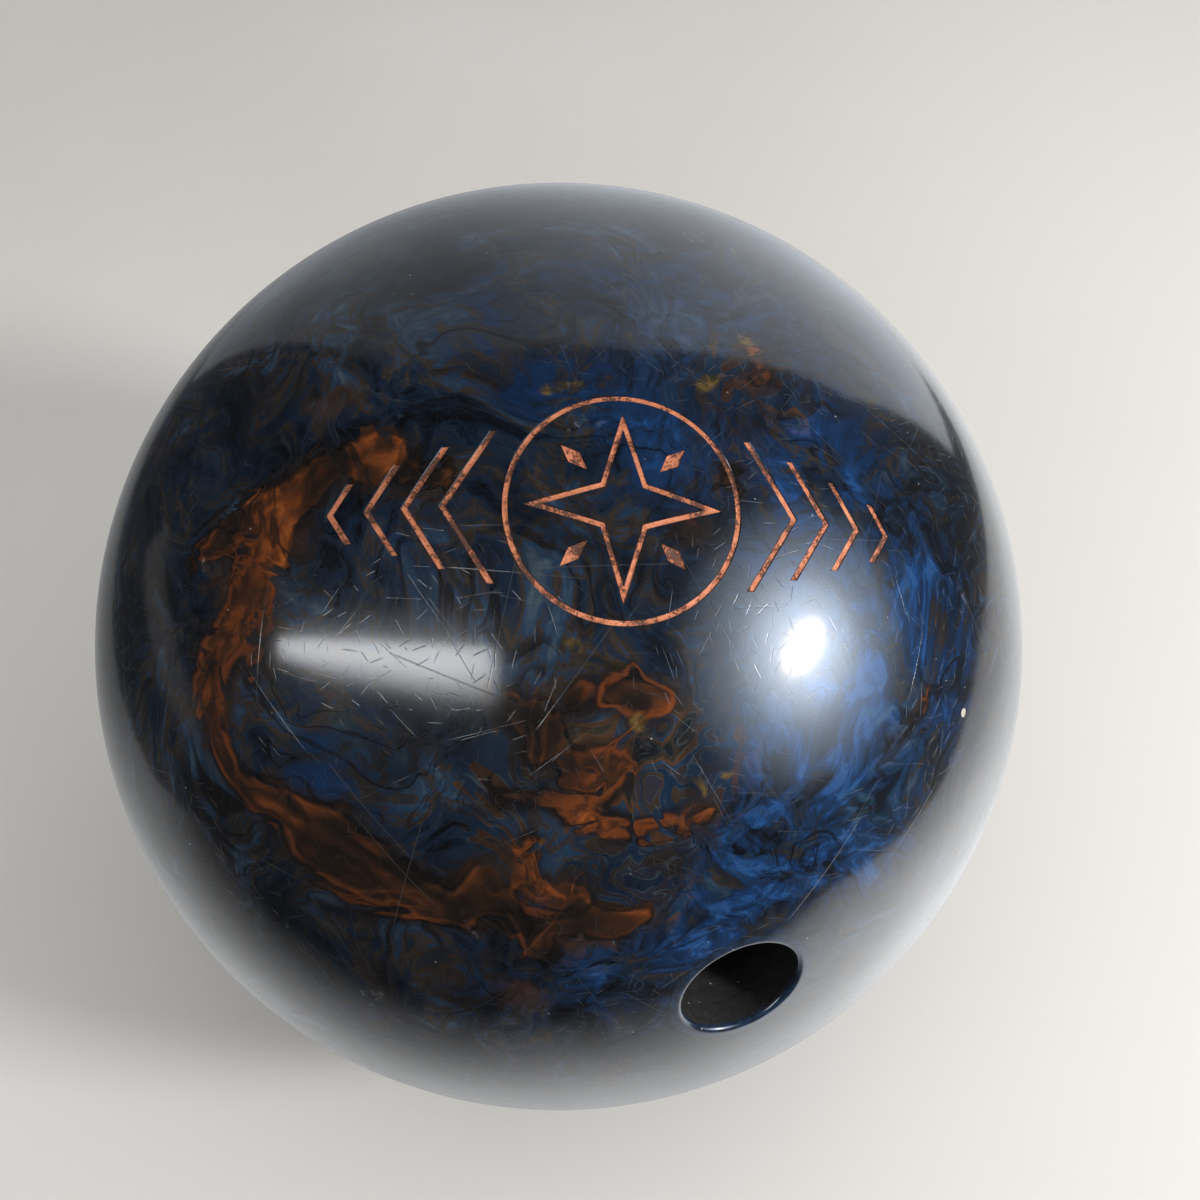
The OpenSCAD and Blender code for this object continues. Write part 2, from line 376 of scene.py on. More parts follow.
def build_coverstock():
    base = mm_object("cover_base", *cube_sphere(92, R))
    core_v, core_f = cube_sphere(36, RC)
    cut_v, cut_f = join_parts([
        (core_v, core_f),
    ])
    core = mm_object("cover_void", cut_v, cut_f)
    holes = mm_object("cover_holes", *join_parts([
        hole_cutter(THUMB, SLUG_HOLE_A, 0, R, RC - 6),
        hole_cutter(RING, GRIP_HOLE_A, HOLE_EDGE, R, RC - 6),
        hole_cutter(MIDDLE, GRIP_HOLE_A, HOLE_EDGE, R, RC - 6),
        hole_cutter(PIN, PIN_A, 0, R, RC - 6, n=96),
        hole_cutter(CG, CG_A, 0, R, R - CG_DEPTH, n=40),
    ]))
    marks = mm_object("cover_marks", *emblem_solid(
        [(-0.05, R - GROOVE), (0.0, R - 0.10), (0.11, R + 0.012), (0.3, R + 0.21), (0.3, R + 1.2)]))
    for o in (holes, marks, core):
        outward(o.data)
    for cutter in (core, holes, marks):
        m = base.modifiers.new("cut", "BOOLEAN")
        m.operation, m.solver, m.object = "DIFFERENCE", "EXACT", cutter
    dg = bpy.context.evaluated_depsgraph_get()
    me = bpy.data.meshes.new_from_object(base.evaluated_get(dg))
    for o in (base, core, holes, marks):
        bpy.data.objects.remove(o)
    me.name = "coverstock_shell"

    co = np.zeros(len(me.vertices) * 3)
    me.vertices.foreach_get("co", co)
    co = co.reshape(-1, 3)
    rad = np.linalg.norm(co, axis=1)
    for r0, tol in ((R, 0.03), (RC, 0.06), (R - GROOVE, 0.01)):
        near = np.abs(rad - r0) < tol
        co[near] *= (r0 / rad[near])[:, None]
    rad = np.linalg.norm(co, axis=1)
    me.vertices.foreach_set("co", (co * MM).ravel())
    me.update()

    nl = len(me.loops)
    lv = np.zeros(nl, int)
    me.loops.foreach_get("vertex_index", lv)
    npoly = len(me.polygons)
    start, total = np.zeros(npoly, int), np.zeros(npoly, int)
    me.polygons.foreach_get("loop_start", start)
    me.polygons.foreach_get("loop_total", total)
    pn = np.zeros(npoly * 3)
    me.polygons.foreach_get("normal", pn)
    pn = pn.reshape(-1, 3)
    poly_of = np.repeat(np.arange(npoly), total)
    rl = rad[lv]
    rmin = np.full(npoly, 1e9)
    rmax = np.full(npoly, -1e9)
    np.minimum.at(rmin, poly_of, rl)
    np.maximum.at(rmax, poly_of, rl)
    nrm = pn[poly_of].copy()
    p = co[lv]
    up = unit(p)
    out = (rmin > R - 0.004)[poly_of]
    nrm[out] = up[out]
    ins = (rmax < RC + 0.01)[poly_of]
    nrm[ins] = -up[ins]
    flo = ((rmax < R - GROOVE + 0.01) & (rmin > R - GROOVE - 0.01))[poly_of]
    nrm[flo] = up[flo]
    rest = ~(out | ins | flo)
    for h, a, b in ((THUMB, SLUG_HOLE_A, 0), (RING, GRIP_HOLE_A, HOLE_EDGE), (MIDDLE, GRIP_HOLE_A, HOLE_EDGE),
                    (PIN, PIN_A, 0), (CG, CG_A, 0)):
        d, ang, z = h.local(p)
        e = np.outer(np.cos(ang), h.e1) + np.outer(np.sin(ang), h.e2)
        wall = rest & (d < a + 0.004) & (d > a - 0.05) & (z > 0)
        wall &= np.abs((pn[poly_of] * e).sum(1)) > 0.7
        nrm[wall] = -e[wall]
        if b:
            lip = rest & (d >= a + 0.004) & (d < a + b + 1.2) & (z > 0)
            zc = h.height(a + b, ang, R - b)
            c = h.m + e * (a + b) + np.outer(zc - R, h.d)
            nrm[lip] = unit(p - c)[lip]
    me.polygons.foreach_set("use_smooth", [True] * npoly)
    me.normals_split_custom_set([tuple(x) for x in nrm])
    o = new_object("coverstock_shell", me)
    return o


# ------------------------------------------------------------ bonded fittings

def finish_solid(name, verts, faces, angle=40):
    me = new_mesh(name, verts, faces)
    outward(me)
    me.set_sharp_from_angle(angle=math.radians(angle))
    return new_object(name, me)


def build_slug(n=192):
    h, ang = THUMB, angles(n)
    f = lambda a, z: h.at(np.full(n, a), ang, np.zeros(n) + z)
    rings = [f(4.0, R - SLUG_LEN), f(SLUG_A - 0.4, R - SLUG_LEN), f(SLUG_A, R - SLUG_LEN + 0.4)]
    top = h.height(SLUG_A, ang, R)
    for t in np.linspace(0.02, 1, 12):
        rings.append(f(SLUG_A, R - SLUG_LEN + 0.4 + (top - (R - SLUG_LEN + 0.4)) * t))
    arc, _ = edge_rings(h, THUMB_A, THUMB_EDGE, R, n, 14)
    x_t = h.local(arc[-1])[0].mean()
    for t in (0.33, 0.66):
        a = SLUG_A + (x_t - SLUG_A) * t
        rings.append(f(a, h.height(a, ang, R)))
    rings += arc[::-1]
    z1 = h.local(arc[0])[2].mean()
    z0 = R - THUMB_DEPTH
    for t in np.linspace(0, 1, 22)[1:]:
        rings.append(f(THUMB_A, z1 + (z0 - z1) * t))
    rings += [f(7.0, z0 - 2.2 * (THUMB_A - 7.0) / (THUMB_A - 1.0)), f(1.0, z0 - 2.2)]
    v, fc = skin(rings, False, True, True)
    return finish_solid("thumb_slug_body", v, fc, 50)


def build_slug_glue(n=192):
    h, ang = THUMB, angles(n)
    f = lambda a, z: h.at(np.full(n, a), ang, np.zeros(n) + z)
    zb = R - SLUG_LEN
    rings = [f(SLUG_HOLE_A, zb - SLUG_GLUE)]
    top = h.height(SLUG_HOLE_A, ang, R - 0.004)
    for t in np.linspace(0.05, 1, 10):
        rings.append(f(SLUG_HOLE_A, zb - SLUG_GLUE + (top - zb + SLUG_GLUE) * t))
    top = h.height(SLUG_A + 0.004, ang, R - 0.004)
    for t in np.linspace(1, 0, 10):
        rings.append(f(SLUG_A + 0.004, zb + (top - zb) * t))
    v, fc = skin(rings, False, True, True)
    return finish_solid("thumb_slug_glue_line", v, fc)


def build_grip(name, h, n=192):
    ang = angles(n)
    rg = R - GRIP_SINK
    zi = rg - GRIP_LEN
    f = lambda a, z: h.at(np.zeros(n) + a, ang, np.zeros(n) + z)
    rings = [f(GRIP_A - 0.6, zi), f(GRIP_A, zi + 0.6)]
    top = h.height(GRIP_A, ang, rg)
    for t in np.linspace(0.1, 1, 10):
        rings.append(f(GRIP_A, zi + 0.6 + (top - zi - 0.6) * t))
    arc, _ = edge_rings(h, GRIP_BORE_A, GRIP_EDGE, rg, n, 12)
    xt = h.local(arc[-1])[0]
    for t in (0.12, 0.5):
        a = GRIP_A + (xt - GRIP_A) * t
        rings.append(h.at(a, ang, h.height(a, ang, rg - (0.0 if t > 0.3 else 0.0))))
    rings += arc[::-1]
    z1 = h.local(arc[0])[2]
    # moulded flutes run down the inside, fading out at both ends
    flute = np.maximum(0, np.cos(ang * 16)) ** 2
    for t in np.linspace(0, 1, 30)[1:]:
        z = z1 + (zi + 0.5 - z1) * t
        fade = min(1.0, max(0.0, (t - 0.06) / 0.08)) * min(1.0, max(0.0, (0.97 - t) / 0.05))
        rings.append(f(GRIP_BORE_A + 0.28 * flute * fade, z))
    rings.append(f(GRIP_BORE_A + 0.5, zi))
    v, fc = skin(rings, True)
    return finish_solid(name, v, fc, 50)


def build_grip_glue(name, h, n=160):
    ang = angles(n)
    rg = R - GRIP_SINK
    zi = rg - GRIP_LEN
    f = lambda a, z: h.at(np.zeros(n) + a, ang, np.zeros(n) + z)
    rings = []
    top = h.height(GRIP_HOLE_A, ang, rg - 0.6)
    for t in np.linspace(0, 1, 8):
        rings.append(f(GRIP_HOLE_A, zi + (top - zi) * t))
    top = h.height(GRIP_A + 0.004, ang, rg - 0.6)
    for t in np.linspace(1, 0, 8):
        rings.append(f(GRIP_A + 0.004, zi + (top - zi) * t))
    v, fc = skin(rings, True)
    return finish_solid(name, v, fc)


def build_plug(name, h, a, z_in, sink, n, rings_top):
    """A round rod whose outer end follows the ball."""
    ang = angles(n)
    f = lambda x, z: h.at(np.zeros(n) + x, ang, np.zeros(n) + z)
    r = R - sink
    top = h.height(a, ang, r)
    rings = [f(a * 0.5, z_in), f(a, z_in)]
    for t in np.linspace(0, 1, 6)[1:]:
        rings.append(f(a, z_in + (top - z_in) * t))
    for k in range(1, rings_top):
        x = a * (1 - k / rings_top)
        rings.append(f(x, h.height(x, ang, r)))
    v, fc = skin(rings, False, True, unit(h.m) * r)
    return finish_solid(name, v, fc)


# ------------------------------------------------------------ node shorthand

class Nodes:
    """Short calls for building a material's node tree."""

    def __init__(self, name):
        self.mat = bpy.data.materials.new(name)
        self.mat.use_nodes = True
        self.t = self.mat.node_tree
        self.t.nodes.clear()
        self.out = self.t.nodes.new("ShaderNodeOutputMaterial")
        self.bsdf = self.t.nodes.new("ShaderNodeBsdfPrincipled")
        self.t.links.new(self.bsdf.outputs[0], self.out.inputs[0])
        self.co = self.t.nodes.new("ShaderNodeTexCoord").outputs["Object"]

    def _in(self, sock, v):
        if isinstance(v, bpy.types.NodeSocket):
            self.t.links.new(v, sock)
        elif v is not None:
            if hasattr(sock.default_value, "__len__"):
                if not hasattr(v, "__len__"):
                    v = (v,) * len(sock.default_value)
                elif len(sock.default_value) == 4 and len(v) == 3:
                    v = (*v, 1.0)
            sock.default_value = v

    def set(self, **kw):
        for k, v in kw.items():
            self._in(self.bsdf.inputs[k.replace("_", " ")], v)

    def math(self, op, a, b=None, c=None, clamp=False):
        n = self.t.nodes.new("ShaderNodeMath")
        n.operation, n.use_clamp = op, clamp
        for i, v in enumerate((a, b, c)):
            if v is not None:
                self._in(n.inputs[i], v)
        return n.outputs[0]

    def add(self, a, b): return self.math("ADD", a, b)
    def sub(self, a, b): return self.math("SUBTRACT", a, b)
    def mul(self, a, b): return self.math("MULTIPLY", a, b)
    def madd(self, a, b, c): return self.math("MULTIPLY_ADD", a, b, c)

    def vec(self, op, a, b=None, scale=None):
        n = self.t.nodes.new("ShaderNodeVectorMath")
        n.operation = op
        self._in(n.inputs[0], a)
        if b is not None:
            self._in(n.inputs[1], b)
        if scale is not None:
            self._in(n.inputs["Scale"], scale)
        return n.outputs["Value"] if op in ("LENGTH", "DOT_PRODUCT", "DISTANCE") else n.outputs["Vector"]

    def noise(self, v, scale, detail=2.0, rough=0.5, dist=0.0, lac=2.0, kind="FBM", color=False, dims="3D", w=None):
        n = self.t.nodes.new("ShaderNodeTexNoise")
        n.noise_dimensions = dims
        n.noise_type = kind
        if v is not None and dims != "1D":
            self._in(n.inputs["Vector"], v)
        if w is not None:
            self._in(n.inputs["W"], w)
        for k, x in (("Scale", scale), ("Detail", detail), ("Roughness", rough), ("Distortion", dist), ("Lacunarity", lac)):
            self._in(n.inputs[k], x)
        return n.outputs["Color"] if color else n.outputs["Fac"]

    def voronoi(self, v, scale, feature="F1", rand=1.0, out="Distance"):
        n = self.t.nodes.new("ShaderNodeTexVoronoi")
        n.feature = feature
        self._in(n.inputs["Vector"], v)
        self._in(n.inputs["Scale"], scale)
        self._in(n.inputs["Randomness"], rand)
        return n.outputs[out]

    def warp(self, v, scale, amount, detail=1.0, rough=0.5, shift=0.0):
        """v moved by a noise field of the given scale and amount."""
        w = self.vec("ADD", v, (shift, shift * 1.7, shift * 0.6))
        c = self.noise(w, scale, detail, rough, color=True)
        d = self.vec("SUBTRACT", c, (0.5, 0.5, 0.5))
        return self.vec("ADD", v, self.vec("SCALE", d, scale=amount))

    def ramp(self, f, stops, mode="LINEAR"):
        n = self.t.nodes.new("ShaderNodeValToRGB")
        n.color_ramp.interpolation = mode
        el = n.color_ramp.elements
        while len(el) > 1:
            el.remove(el[-1])
        for i, (p, c) in enumerate(stops):
            e = el[0] if i == 0 else el.new(p)
            e.position = p
            c = (c, c, c) if not hasattr(c, "__len__") else c
            e.color = (*c, 1.0) if len(c) == 3 else c
        self._in(n.inputs[0], f)
        return n.outputs["Color"]

    def step(self, f, lo, hi, a=0.0, b=1.0, smooth=True):
        n = self.t.nodes.new("ShaderNodeMapRange")
        n.interpolation_type = "SMOOTHSTEP" if smooth else "LINEAR"
        n.clamp = True
        for k, x in (("Value", f), ("From Min", lo), ("From Max", hi), ("To Min", a), ("To Max", b)):
            self._in(n.inputs[k], x)
        return n.outputs[0]

    def mix(self, f, a, b, mode="MIX"):
        n = self.t.nodes.new("ShaderNodeMix")
        n.data_type, n.blend_type, n.clamp_factor = "RGBA", mode, True
        ins = [s for s in n.inputs if s.type == "RGBA"]
        self._in(n.inputs[0], f)
        self._in(ins[0], a)
        self._in(ins[1], b)
        return [s for s in n.outputs if s.type == "RGBA"][0]

    def mix_f(self, f, a, b):
        return self.add(self.mul(self.math("SUBTRACT", 1.0, f), a), self.mul(f, b))

    def attr(self, name):
        n = self.t.nodes.new("ShaderNodeAttribute")
        n.attribute_name = name
        return n.outputs["Fac"]

    def bump(self, h, dist, strength=1.0, normal=None):
        n = self.t.nodes.new("ShaderNodeBump")
        n.inputs["Strength"].default_value = strength
        n.inputs["Distance"].default_value = dist
        self._in(n.inputs["Height"], h)
        if normal is not None:
            self._in(n.inputs["Normal"], normal)
        return n.outputs[0]

    def combine(self, x, y, z):
        n = self.t.nodes.new("ShaderNodeCombineXYZ")
        for i, v in enumerate((x, y, z)):
            self._in(n.inputs[i], v)
        return n.outputs[0]

    def split(self, v):
        n = self.t.nodes.new("ShaderNodeSeparateXYZ")
        self._in(n.inputs[0], v)
        return n.outputs


# ------------------------------------------------- where the colours swirl

# Centre lines of the copper veins: direction from the centre of the ball and
# half width in millimetres.
COPPER = [
    [(-0.165, -0.343, 0.925, 0.9), (-0.217, -0.328, 0.919, 2.0), (-0.263, -0.299, 0.917, 2.6), (-0.319, -0.279, 0.906, 2.8),
     (-0.375, -0.29, 0.88, 2.6), (-0.423, -0.317, 0.849, 2.8), (-0.462, -0.331, 0.823, 2.7)],
    [(-0.263, -0.299, 0.917, 1.9), (-0.282, -0.266, 0.922, 0.8)],
    [(-0.462, -0.331, 0.823, 2.5), (-0.507, -0.33, 0.796, 1.9), (-0.553, -0.342, 0.76, 2.0), (-0.589, -0.351, 0.728, 0.7)],
    [(-0.462, -0.331, 0.823, 2.7), (-0.447, -0.374, 0.812, 2.4), (-0.467, -0.42, 0.778, 2.4), (-0.496, -0.446, 0.745, 2.9),
     (-0.522, -0.485, 0.702, 3.0), (-0.558, -0.514, 0.652, 2.9), (-0.57, -0.553, 0.608, 3.4), (-0.55, -0.607, 0.574, 2.9),
     (-0.517, -0.656, 0.55, 2.6)],
    [(-0.456, -0.416, 0.787, 1.8), (-0.453, -0.48, 0.751, 1.4), (-0.479, -0.525, 0.704, 2.0), (-0.483, -0.545, 0.686, 1.0)],
    [(-0.517, -0.656, 0.55, 2.6), (-0.484, -0.69, 0.538, 3.2), (-0.416, -0.733, 0.538, 3.1), (-0.343, -0.772, 0.536, 3.0),
     (-0.291, -0.801, 0.524, 2.7), (-0.242, -0.829, 0.504, 3.1), (-0.182, -0.855, 0.485, 3.1), (-0.137, -0.872, 0.47, 2.4)],
    [(-0.146, -0.865, 0.48, 2.3), (-0.109, -0.851, 0.514, 2.1), (-0.089, -0.838, 0.538, 1.3)],
    [(-0.109, -0.851, 0.514, 1.9), (-0.068, -0.86, 0.505, 1.9), (-0.037, -0.875, 0.483, 2.5), (-0.023, -0.903, 0.43, 2.0)],
    [(-0.031, -0.873, 0.487, 1.5), (0.007, -0.882, 0.47, 1.4), (0.036, -0.88, 0.473, 2.3), (0.074, -0.877, 0.474, 2.1),
     (0.115, -0.879, 0.462, 1.2), (0.149, -0.867, 0.476, 1.0)],
    [(0.042, -0.875, 0.483, 1.5), (0.052, -0.853, 0.519, 0.9)],
    [(-0.398, -0.765, 0.507, 2.1), (-0.331, -0.808, 0.488, 1.8), (-0.273, -0.837, 0.475, 1.4)],
    [(-0.063, -0.655, 0.753, 0.8), (-0.029, -0.665, 0.746, 1.7), (0, -0.682, 0.731, 1.7), (-0.008, -0.704, 0.71, 1.2)],
    [(0.032, -0.719, 0.694, 0.7), (0.074, -0.712, 0.698, 1.7), (0.114, -0.711, 0.693, 1.5), (0.099, -0.735, 0.67, 1.5),
     (0.067, -0.756, 0.651, 1.9), (0.037, -0.77, 0.638, 1.0)],
    [(0.037, -0.76, 0.649, 0.9), (-0.009, -0.76, 0.649, 0.5), (-0.064, -0.758, 0.649, 0.3)],
    [(0.028, -0.743, 0.669, 0.7), (0.051, -0.738, 0.673, 1.2), (0.074, -0.734, 0.675, 0.9)],
    [(-0.021, -0.806, 0.592, 0.7), (-0.03, -0.824, 0.566, 1.4), (-0.034, -0.84, 0.542, 1.1)],
    [(-0.029, -0.836, 0.548, 0.7), (-0.005, -0.852, 0.524, 1.1)],
    [(0.099, -0.789, 0.606, 0.4), (0.152, -0.786, 0.599, 0.5), (0.202, -0.774, 0.6, 0.5), (0.247, -0.76, 0.602, 0.5)],
    [(0.097, -0.628, 0.772, 1.0), (0.136, -0.637, 0.759, 1.5), (0.174, -0.641, 0.748, 1.0)],
    [(0.038, -0.646, 0.762, 0.8), (0.053, -0.63, 0.775, 0.7)],
    [(0.548, -0.631, 0.549, -1.2), (0.586, -0.59, 0.555, -0.7), (0.623, -0.548, 0.557, -0.5), (0.648, -0.51, 0.566, -1.2)],
    [(0.35, -0.063, 0.935, 0.9), (0.353, -0.084, 0.932, 1.3), (0.361, -0.107, 0.927, 0.9)],
    [(0.227, -0.414, 0.882, 0.7), (0.239, -0.42, 0.875, 0.9)],
    [(0.285, -0.327, 0.901, 1.1), (0.296, -0.34, 0.893, 0.9)],
]
OLIVE = [
    [(0.227, -0.721, 0.655, 0.9), (0.236, -0.732, 0.639, 1.2), (0.241, -0.739, 0.629, 0.7)],
    [(0.253, -0.16, 0.954, 1.2), (0.273, -0.147, 0.951, 1.4), (0.291, -0.13, 0.948, 0.8)],
    [(0.029, -0.569, 0.822, 0.8), (0.059, -0.581, 0.812, 0.8)],
    [(0.327, -0.034, 0.944, 1.2), (0.347, -0.055, 0.936, 1.1)],
    [(0.002, -0.202, 0.979, 0.9), (0.05, -0.196, 0.979, 1.0)],
    [(0.145, -0.662, 0.735, 0.8), (0.151, -0.671, 0.726, 0.7)],
    [(0.278, -0.718, 0.639, 0.5), (0.302, -0.706, 0.64, 0.9)],
]
# Blue clouds: direction, radius in millimetres, strength.
BLUE = [
    (-0.338, -0.713, 0.614, 11.4, .55), (-0.173, -0.455, 0.874, 8.6, .35), (-0.255, -0.385, 0.887, 8.1, .3),
    (-0.48, -0.647, 0.593, 6.3, .25), (0.238, -0.106, 0.965, 12.6, .8), (0.365, 0.007, 0.931, 17.2, .5),
    (0.026, -0.211, 0.977, 11.3, .45), (0.121, -0.46, 0.88, 11.8, .35), (0.416, -0.281, 0.865, 18.1, .8),
    (0.556, -0.356, 0.751, 15.2, .92), (0.654, -0.429, 0.623, 14.5, .88), (0.533, -0.558, 0.636, 16.7, .9),
    (0.247, -0.77, 0.588, 12.8, .75), (0.364, -0.772, 0.522, 13.9, .9), (0.51, -0.745, 0.43, 13.9, .9),
    (0.153, -0.83, 0.536, 11.1, .7), (0.252, -0.868, 0.428, 12.4, .75), (0.074, -0.91, 0.407, 10.2, .7),
    (-0.106, -0.918, 0.383, 12.6, .35), (0.5, -0.663, 0.557, 12.6, .6), (0.342, -0.69, 0.637, 11.1, .8),
    (0.152, -0.748, 0.646, 7.8, .5), (0.09, -0.542, 0.836, 6.6, .35), (-0.11, -0.707, 0.698, 7.7, .3),
    (0.185, -0.269, 0.945, 11.1, .6), (0.683, -0.569, 0.458, 13.3, .5), (0.19, -0.936, 0.296, 13.9, .4),
    (-0.08, 0.033, 0.996, 14, .35), (-0.193, -0.049, 0.98, 11, .3), (0.124, 0.012, 0.992, 13.7, .3),
]
# The patch of fine folds: direction, radius in millimetres, strength.
FOLDS = [
    (0.06, -0.80, 0.60, 20.0, 1.0), (0.16, -0.72, 0.67, 16.0, 1.0), (0.0, -0.84, 0.54, 15.0, 0.8), (0.26, -0.16, 0.95, 16.0, 0.6),
    (-0.03, -0.70, 0.71, 12.0, 0.6), (0.36, -0.08, 0.93, 12.0, 0.5), (-0.28, -0.30, 0.91, 10.0, 0.5),
    (0.62, -0.54, 0.57, 9.0, 0.4), (0.3, -0.34, 0.89, 12.0, 0.45), (-0.05, -0.48, 0.87, 14.0, 0.3),
]
# Smoky brown patches, then grey-green ones.
BROWN = [
    (-0.531, -0.426, 0.732, 6.4, .9), (-0.457, -0.394, 0.797, 5.3, .8), (-0.391, -0.369, 0.843, 5.1, .6),
    (-0.223, -0.368, 0.903, 5.4, .7), (-0.475, -0.5, 0.724, 4.4, .8), (-0.576, -0.543, 0.612, 5.9, .7),
    (-0.633, -0.626, 0.455, 7.9, .6), (-0.527, -0.74, 0.418, 7.3, .6), (-0.396, -0.755, 0.523, 7.0, .7),
    (-0.35, -0.814, 0.463, 6.3, .5), (-0.197, -0.841, 0.504, 5.8, .7), (-0.07, -0.878, 0.473, 6.6, .6),
    (0.029, -0.699, 0.714, 5.7, .6), (0.074, -0.742, 0.666, 5.1, .8), (-0.035, -0.806, 0.591, 4.6, .7),
    (0.151, -0.636, 0.757, 5.7, .7), (0.151, -0.563, 0.813, 4.4, .5), (-0.354, -0.175, 0.919, 4.7, .8),
    (-0.118, -0.206, 0.971, 6.9, .6), (-0.006, -0.193, 0.981, 5.7, .4), (0.332, -0.1, 0.938, 6.5, .6),
    (0.252, -0.184, 0.95, 4.8, .6), (0.23, -0.426, 0.875, 3.5, .5), (0.296, -0.331, 0.896, 3.7, .5),
    (0.412, -0.709, 0.573, 5.1, .4), (0.555, -0.611, 0.565, 6.6, .8), (0.121, -0.802, 0.584, 4.7, .4),
    (-0.043, -0.946, 0.323, 6.7, .4), (0.155, -0.906, 0.395, 6.2, .4), (-0.666, -0.423, 0.615, 6.2, .6),
    (-0.504, -0.153, 0.85, 6.3, .35),
]
TEAL = [
    (0.152, -0.748, 0.646, 7.0, .8), (0.182, -0.679, 0.711, 5.8, .6), (0.09, -0.814, 0.574, 6.1, .7),
    (-0.033, -0.732, 0.68, 5.1, .5), (0.341, -0.61, 0.716, 7.2, .4), (0.257, -0.057, 0.965, 8.8, .5),
    (0.028, -0.806, 0.591, 4.6, .6), (-0.14, -0.625, 0.768, 5.1, .35), (0.224, -0.042, 0.974, 8.8, .4),
    (0.592, -0.561, 0.578, 5.9, .9), (0.105, -0.515, 0.851, 5.0, .5), (-0.302, -0.686, 0.662, 4.7, .4),
    (0.56, -0.666, 0.493, 6.9, .5), (-0.066, -0.33, 0.942, 5.3, .3), (-0.187, -0.508, 0.841, 5.1, .35),
    (-0.317, -0.638, 0.702, 4.7, .4),
]
FACE = unit(np.array([0.030, -0.574, 0.818]))     # middle of the side the lists above describe


def spin(seed):
    """The lists turned to another side of the ball."""
    rng = np.random.default_rng(seed)
    q = unit(rng.normal(size=4))
    w, x, y, z = q
    return np.array([[1 - 2 * (y * y + z * z), 2 * (x * y - z * w), 2 * (x * z + y * w)],
                     [2 * (x * y + z * w), 1 - 2 * (x * x + z * z), 2 * (y * z - x * w)],
                     [2 * (x * z - y * w), 2 * (y * z + x * w), 1 - 2 * (x * x + y * y)]])


def vein_distance(pts, lines, turn=None):
    """Signed distance in mm to the nearest vein edge, positive inside."""
    best = np.full(len(pts), -9.0)
    for line in lines:
        l = np.array(line, float)
        c = unit(l[:, :3]) * R
        if turn is not None:
            c = c @ turn.T
        near = (np.linalg.norm(pts - c.mean(0), axis=1) < 75)
        idx = np.nonzero(near)[0]
        if not len(idx):
            continue
        p = pts[idx]
        for i in range(len(c) - 1):
            a, b = c[i], c[i + 1]
            ab = b - a
            t = np.clip(((p - a) @ ab) / (ab @ ab), 0, 1)
            d = np.linalg.norm(p - a - t[:, None] * ab, axis=1)
            w = l[i, 3] + (l[i + 1, 3] - l[i, 3]) * t
            best[idx] = np.maximum(best[idx], w - d)
    return best


def blobs(pts, spots, turn=None):
    out = np.zeros(len(pts))
    for x, y, z, rad, k in spots:
        c = unit(np.array([x, y, z])) * R
        if turn is not None:
            c = turn @ c
        d2 = ((pts - c) ** 2).sum(1)
        out = 1 - (1 - out) * (1 - k * np.exp(-d2 / (rad * rad * 1.1)))
    return out


def paint_fields(me):
    """Where copper, olive, blue and folds lie, as one number per vertex of the shell."""
    co = np.zeros(len(me.vertices) * 3)
    me.vertices.foreach_get("co", co)
    d = unit(co.reshape(-1, 3) / MM)
    pts = d * R
    wob = np.array([[noise.noise(Vector(v * 7.0 + k)) for k in (0.0, 11.3, 23.9)] for v in d])
    wob2 = np.array([[noise.noise(Vector(v * 19.0 + k)) for k in (5.0, 16.3, 29.9)] for v in d])
    p1 = unit(pts + wob * 1.5 + wob2 * 0.7) * R
    facing = d @ FACE
    free = np.clip((0.36 - facing) / 0.12, 0, 1)
    cu = vein_distance(p1, COPPER)
    ol = vein_distance(p1, OLIVE)
    bl = blobs(pts + wob * 4, BLUE)
    fo = blobs(pts + wob * 3, FOLDS)
    br = blobs(pts + wob * 3, BROWN)
    te = blobs(pts + wob * 3, TEAL)
    p2 = unit(pts + wob * 9 + wob2 * 1.6) * R
    for seed, amount in ((11, 0.9), (4, 0.6), (7, 1.0), (23, 0.7), (70, 0.9), (61, 0.7)):
        m = spin(seed)
        hide = 5.0 * (1 - free)
        cu = np.maximum(cu, vein_distance(p2, COPPER, m) + amount - hide)
        ol = np.maximum(ol, vein_distance(p2, OLIVE, m) - hide)
        bl = 1 - (1 - bl) * (1 - blobs(pts + wob * 8, BLUE, m) * free * 0.8)
        fo = np.maximum(fo, blobs(pts + wob * 6, FOLDS, m) * free)
        br = np.maximum(br, blobs(pts + wob * 6, BROWN, m) * free)
        te = np.maximum(te, blobs(pts + wob * 6, TEAL, m) * free)
    for name, val in (("copper", cu), ("olive", ol), ("blue", bl), ("folds", fo), ("brown", br), ("teal", te)):
        a = me.attributes.new(name, "FLOAT", "POINT")
        a.data.foreach_set("value", val.astype(np.float32))


# ------------------------------------------------------------------ materials

def scratches(n, P, count, seed, half_len, width):
    """Straight hairlines laid over the ball: arcs of tilted planes, each short."""
    rng = np.random.default_rng(seed)
    total = None
    for _ in range(count):
        c = unit(FACE + rng.normal(size=3) * 0.42)
        t = unit(np.cross(c, rng.normal(size=3)))
        off = n.math("ABSOLUTE", n.vec("DOT_PRODUCT", P, tuple(t)))
        along = n.vec("DISTANCE", P, tuple(c * 1.085))
        line = n.mul(n.step(off, width * 0.35, width, 1, 0), n.step(along, half_len * 0.7, half_len, 1, 0))
        total = line if total is None else n.math("MAXIMUM", total, line)
    return total


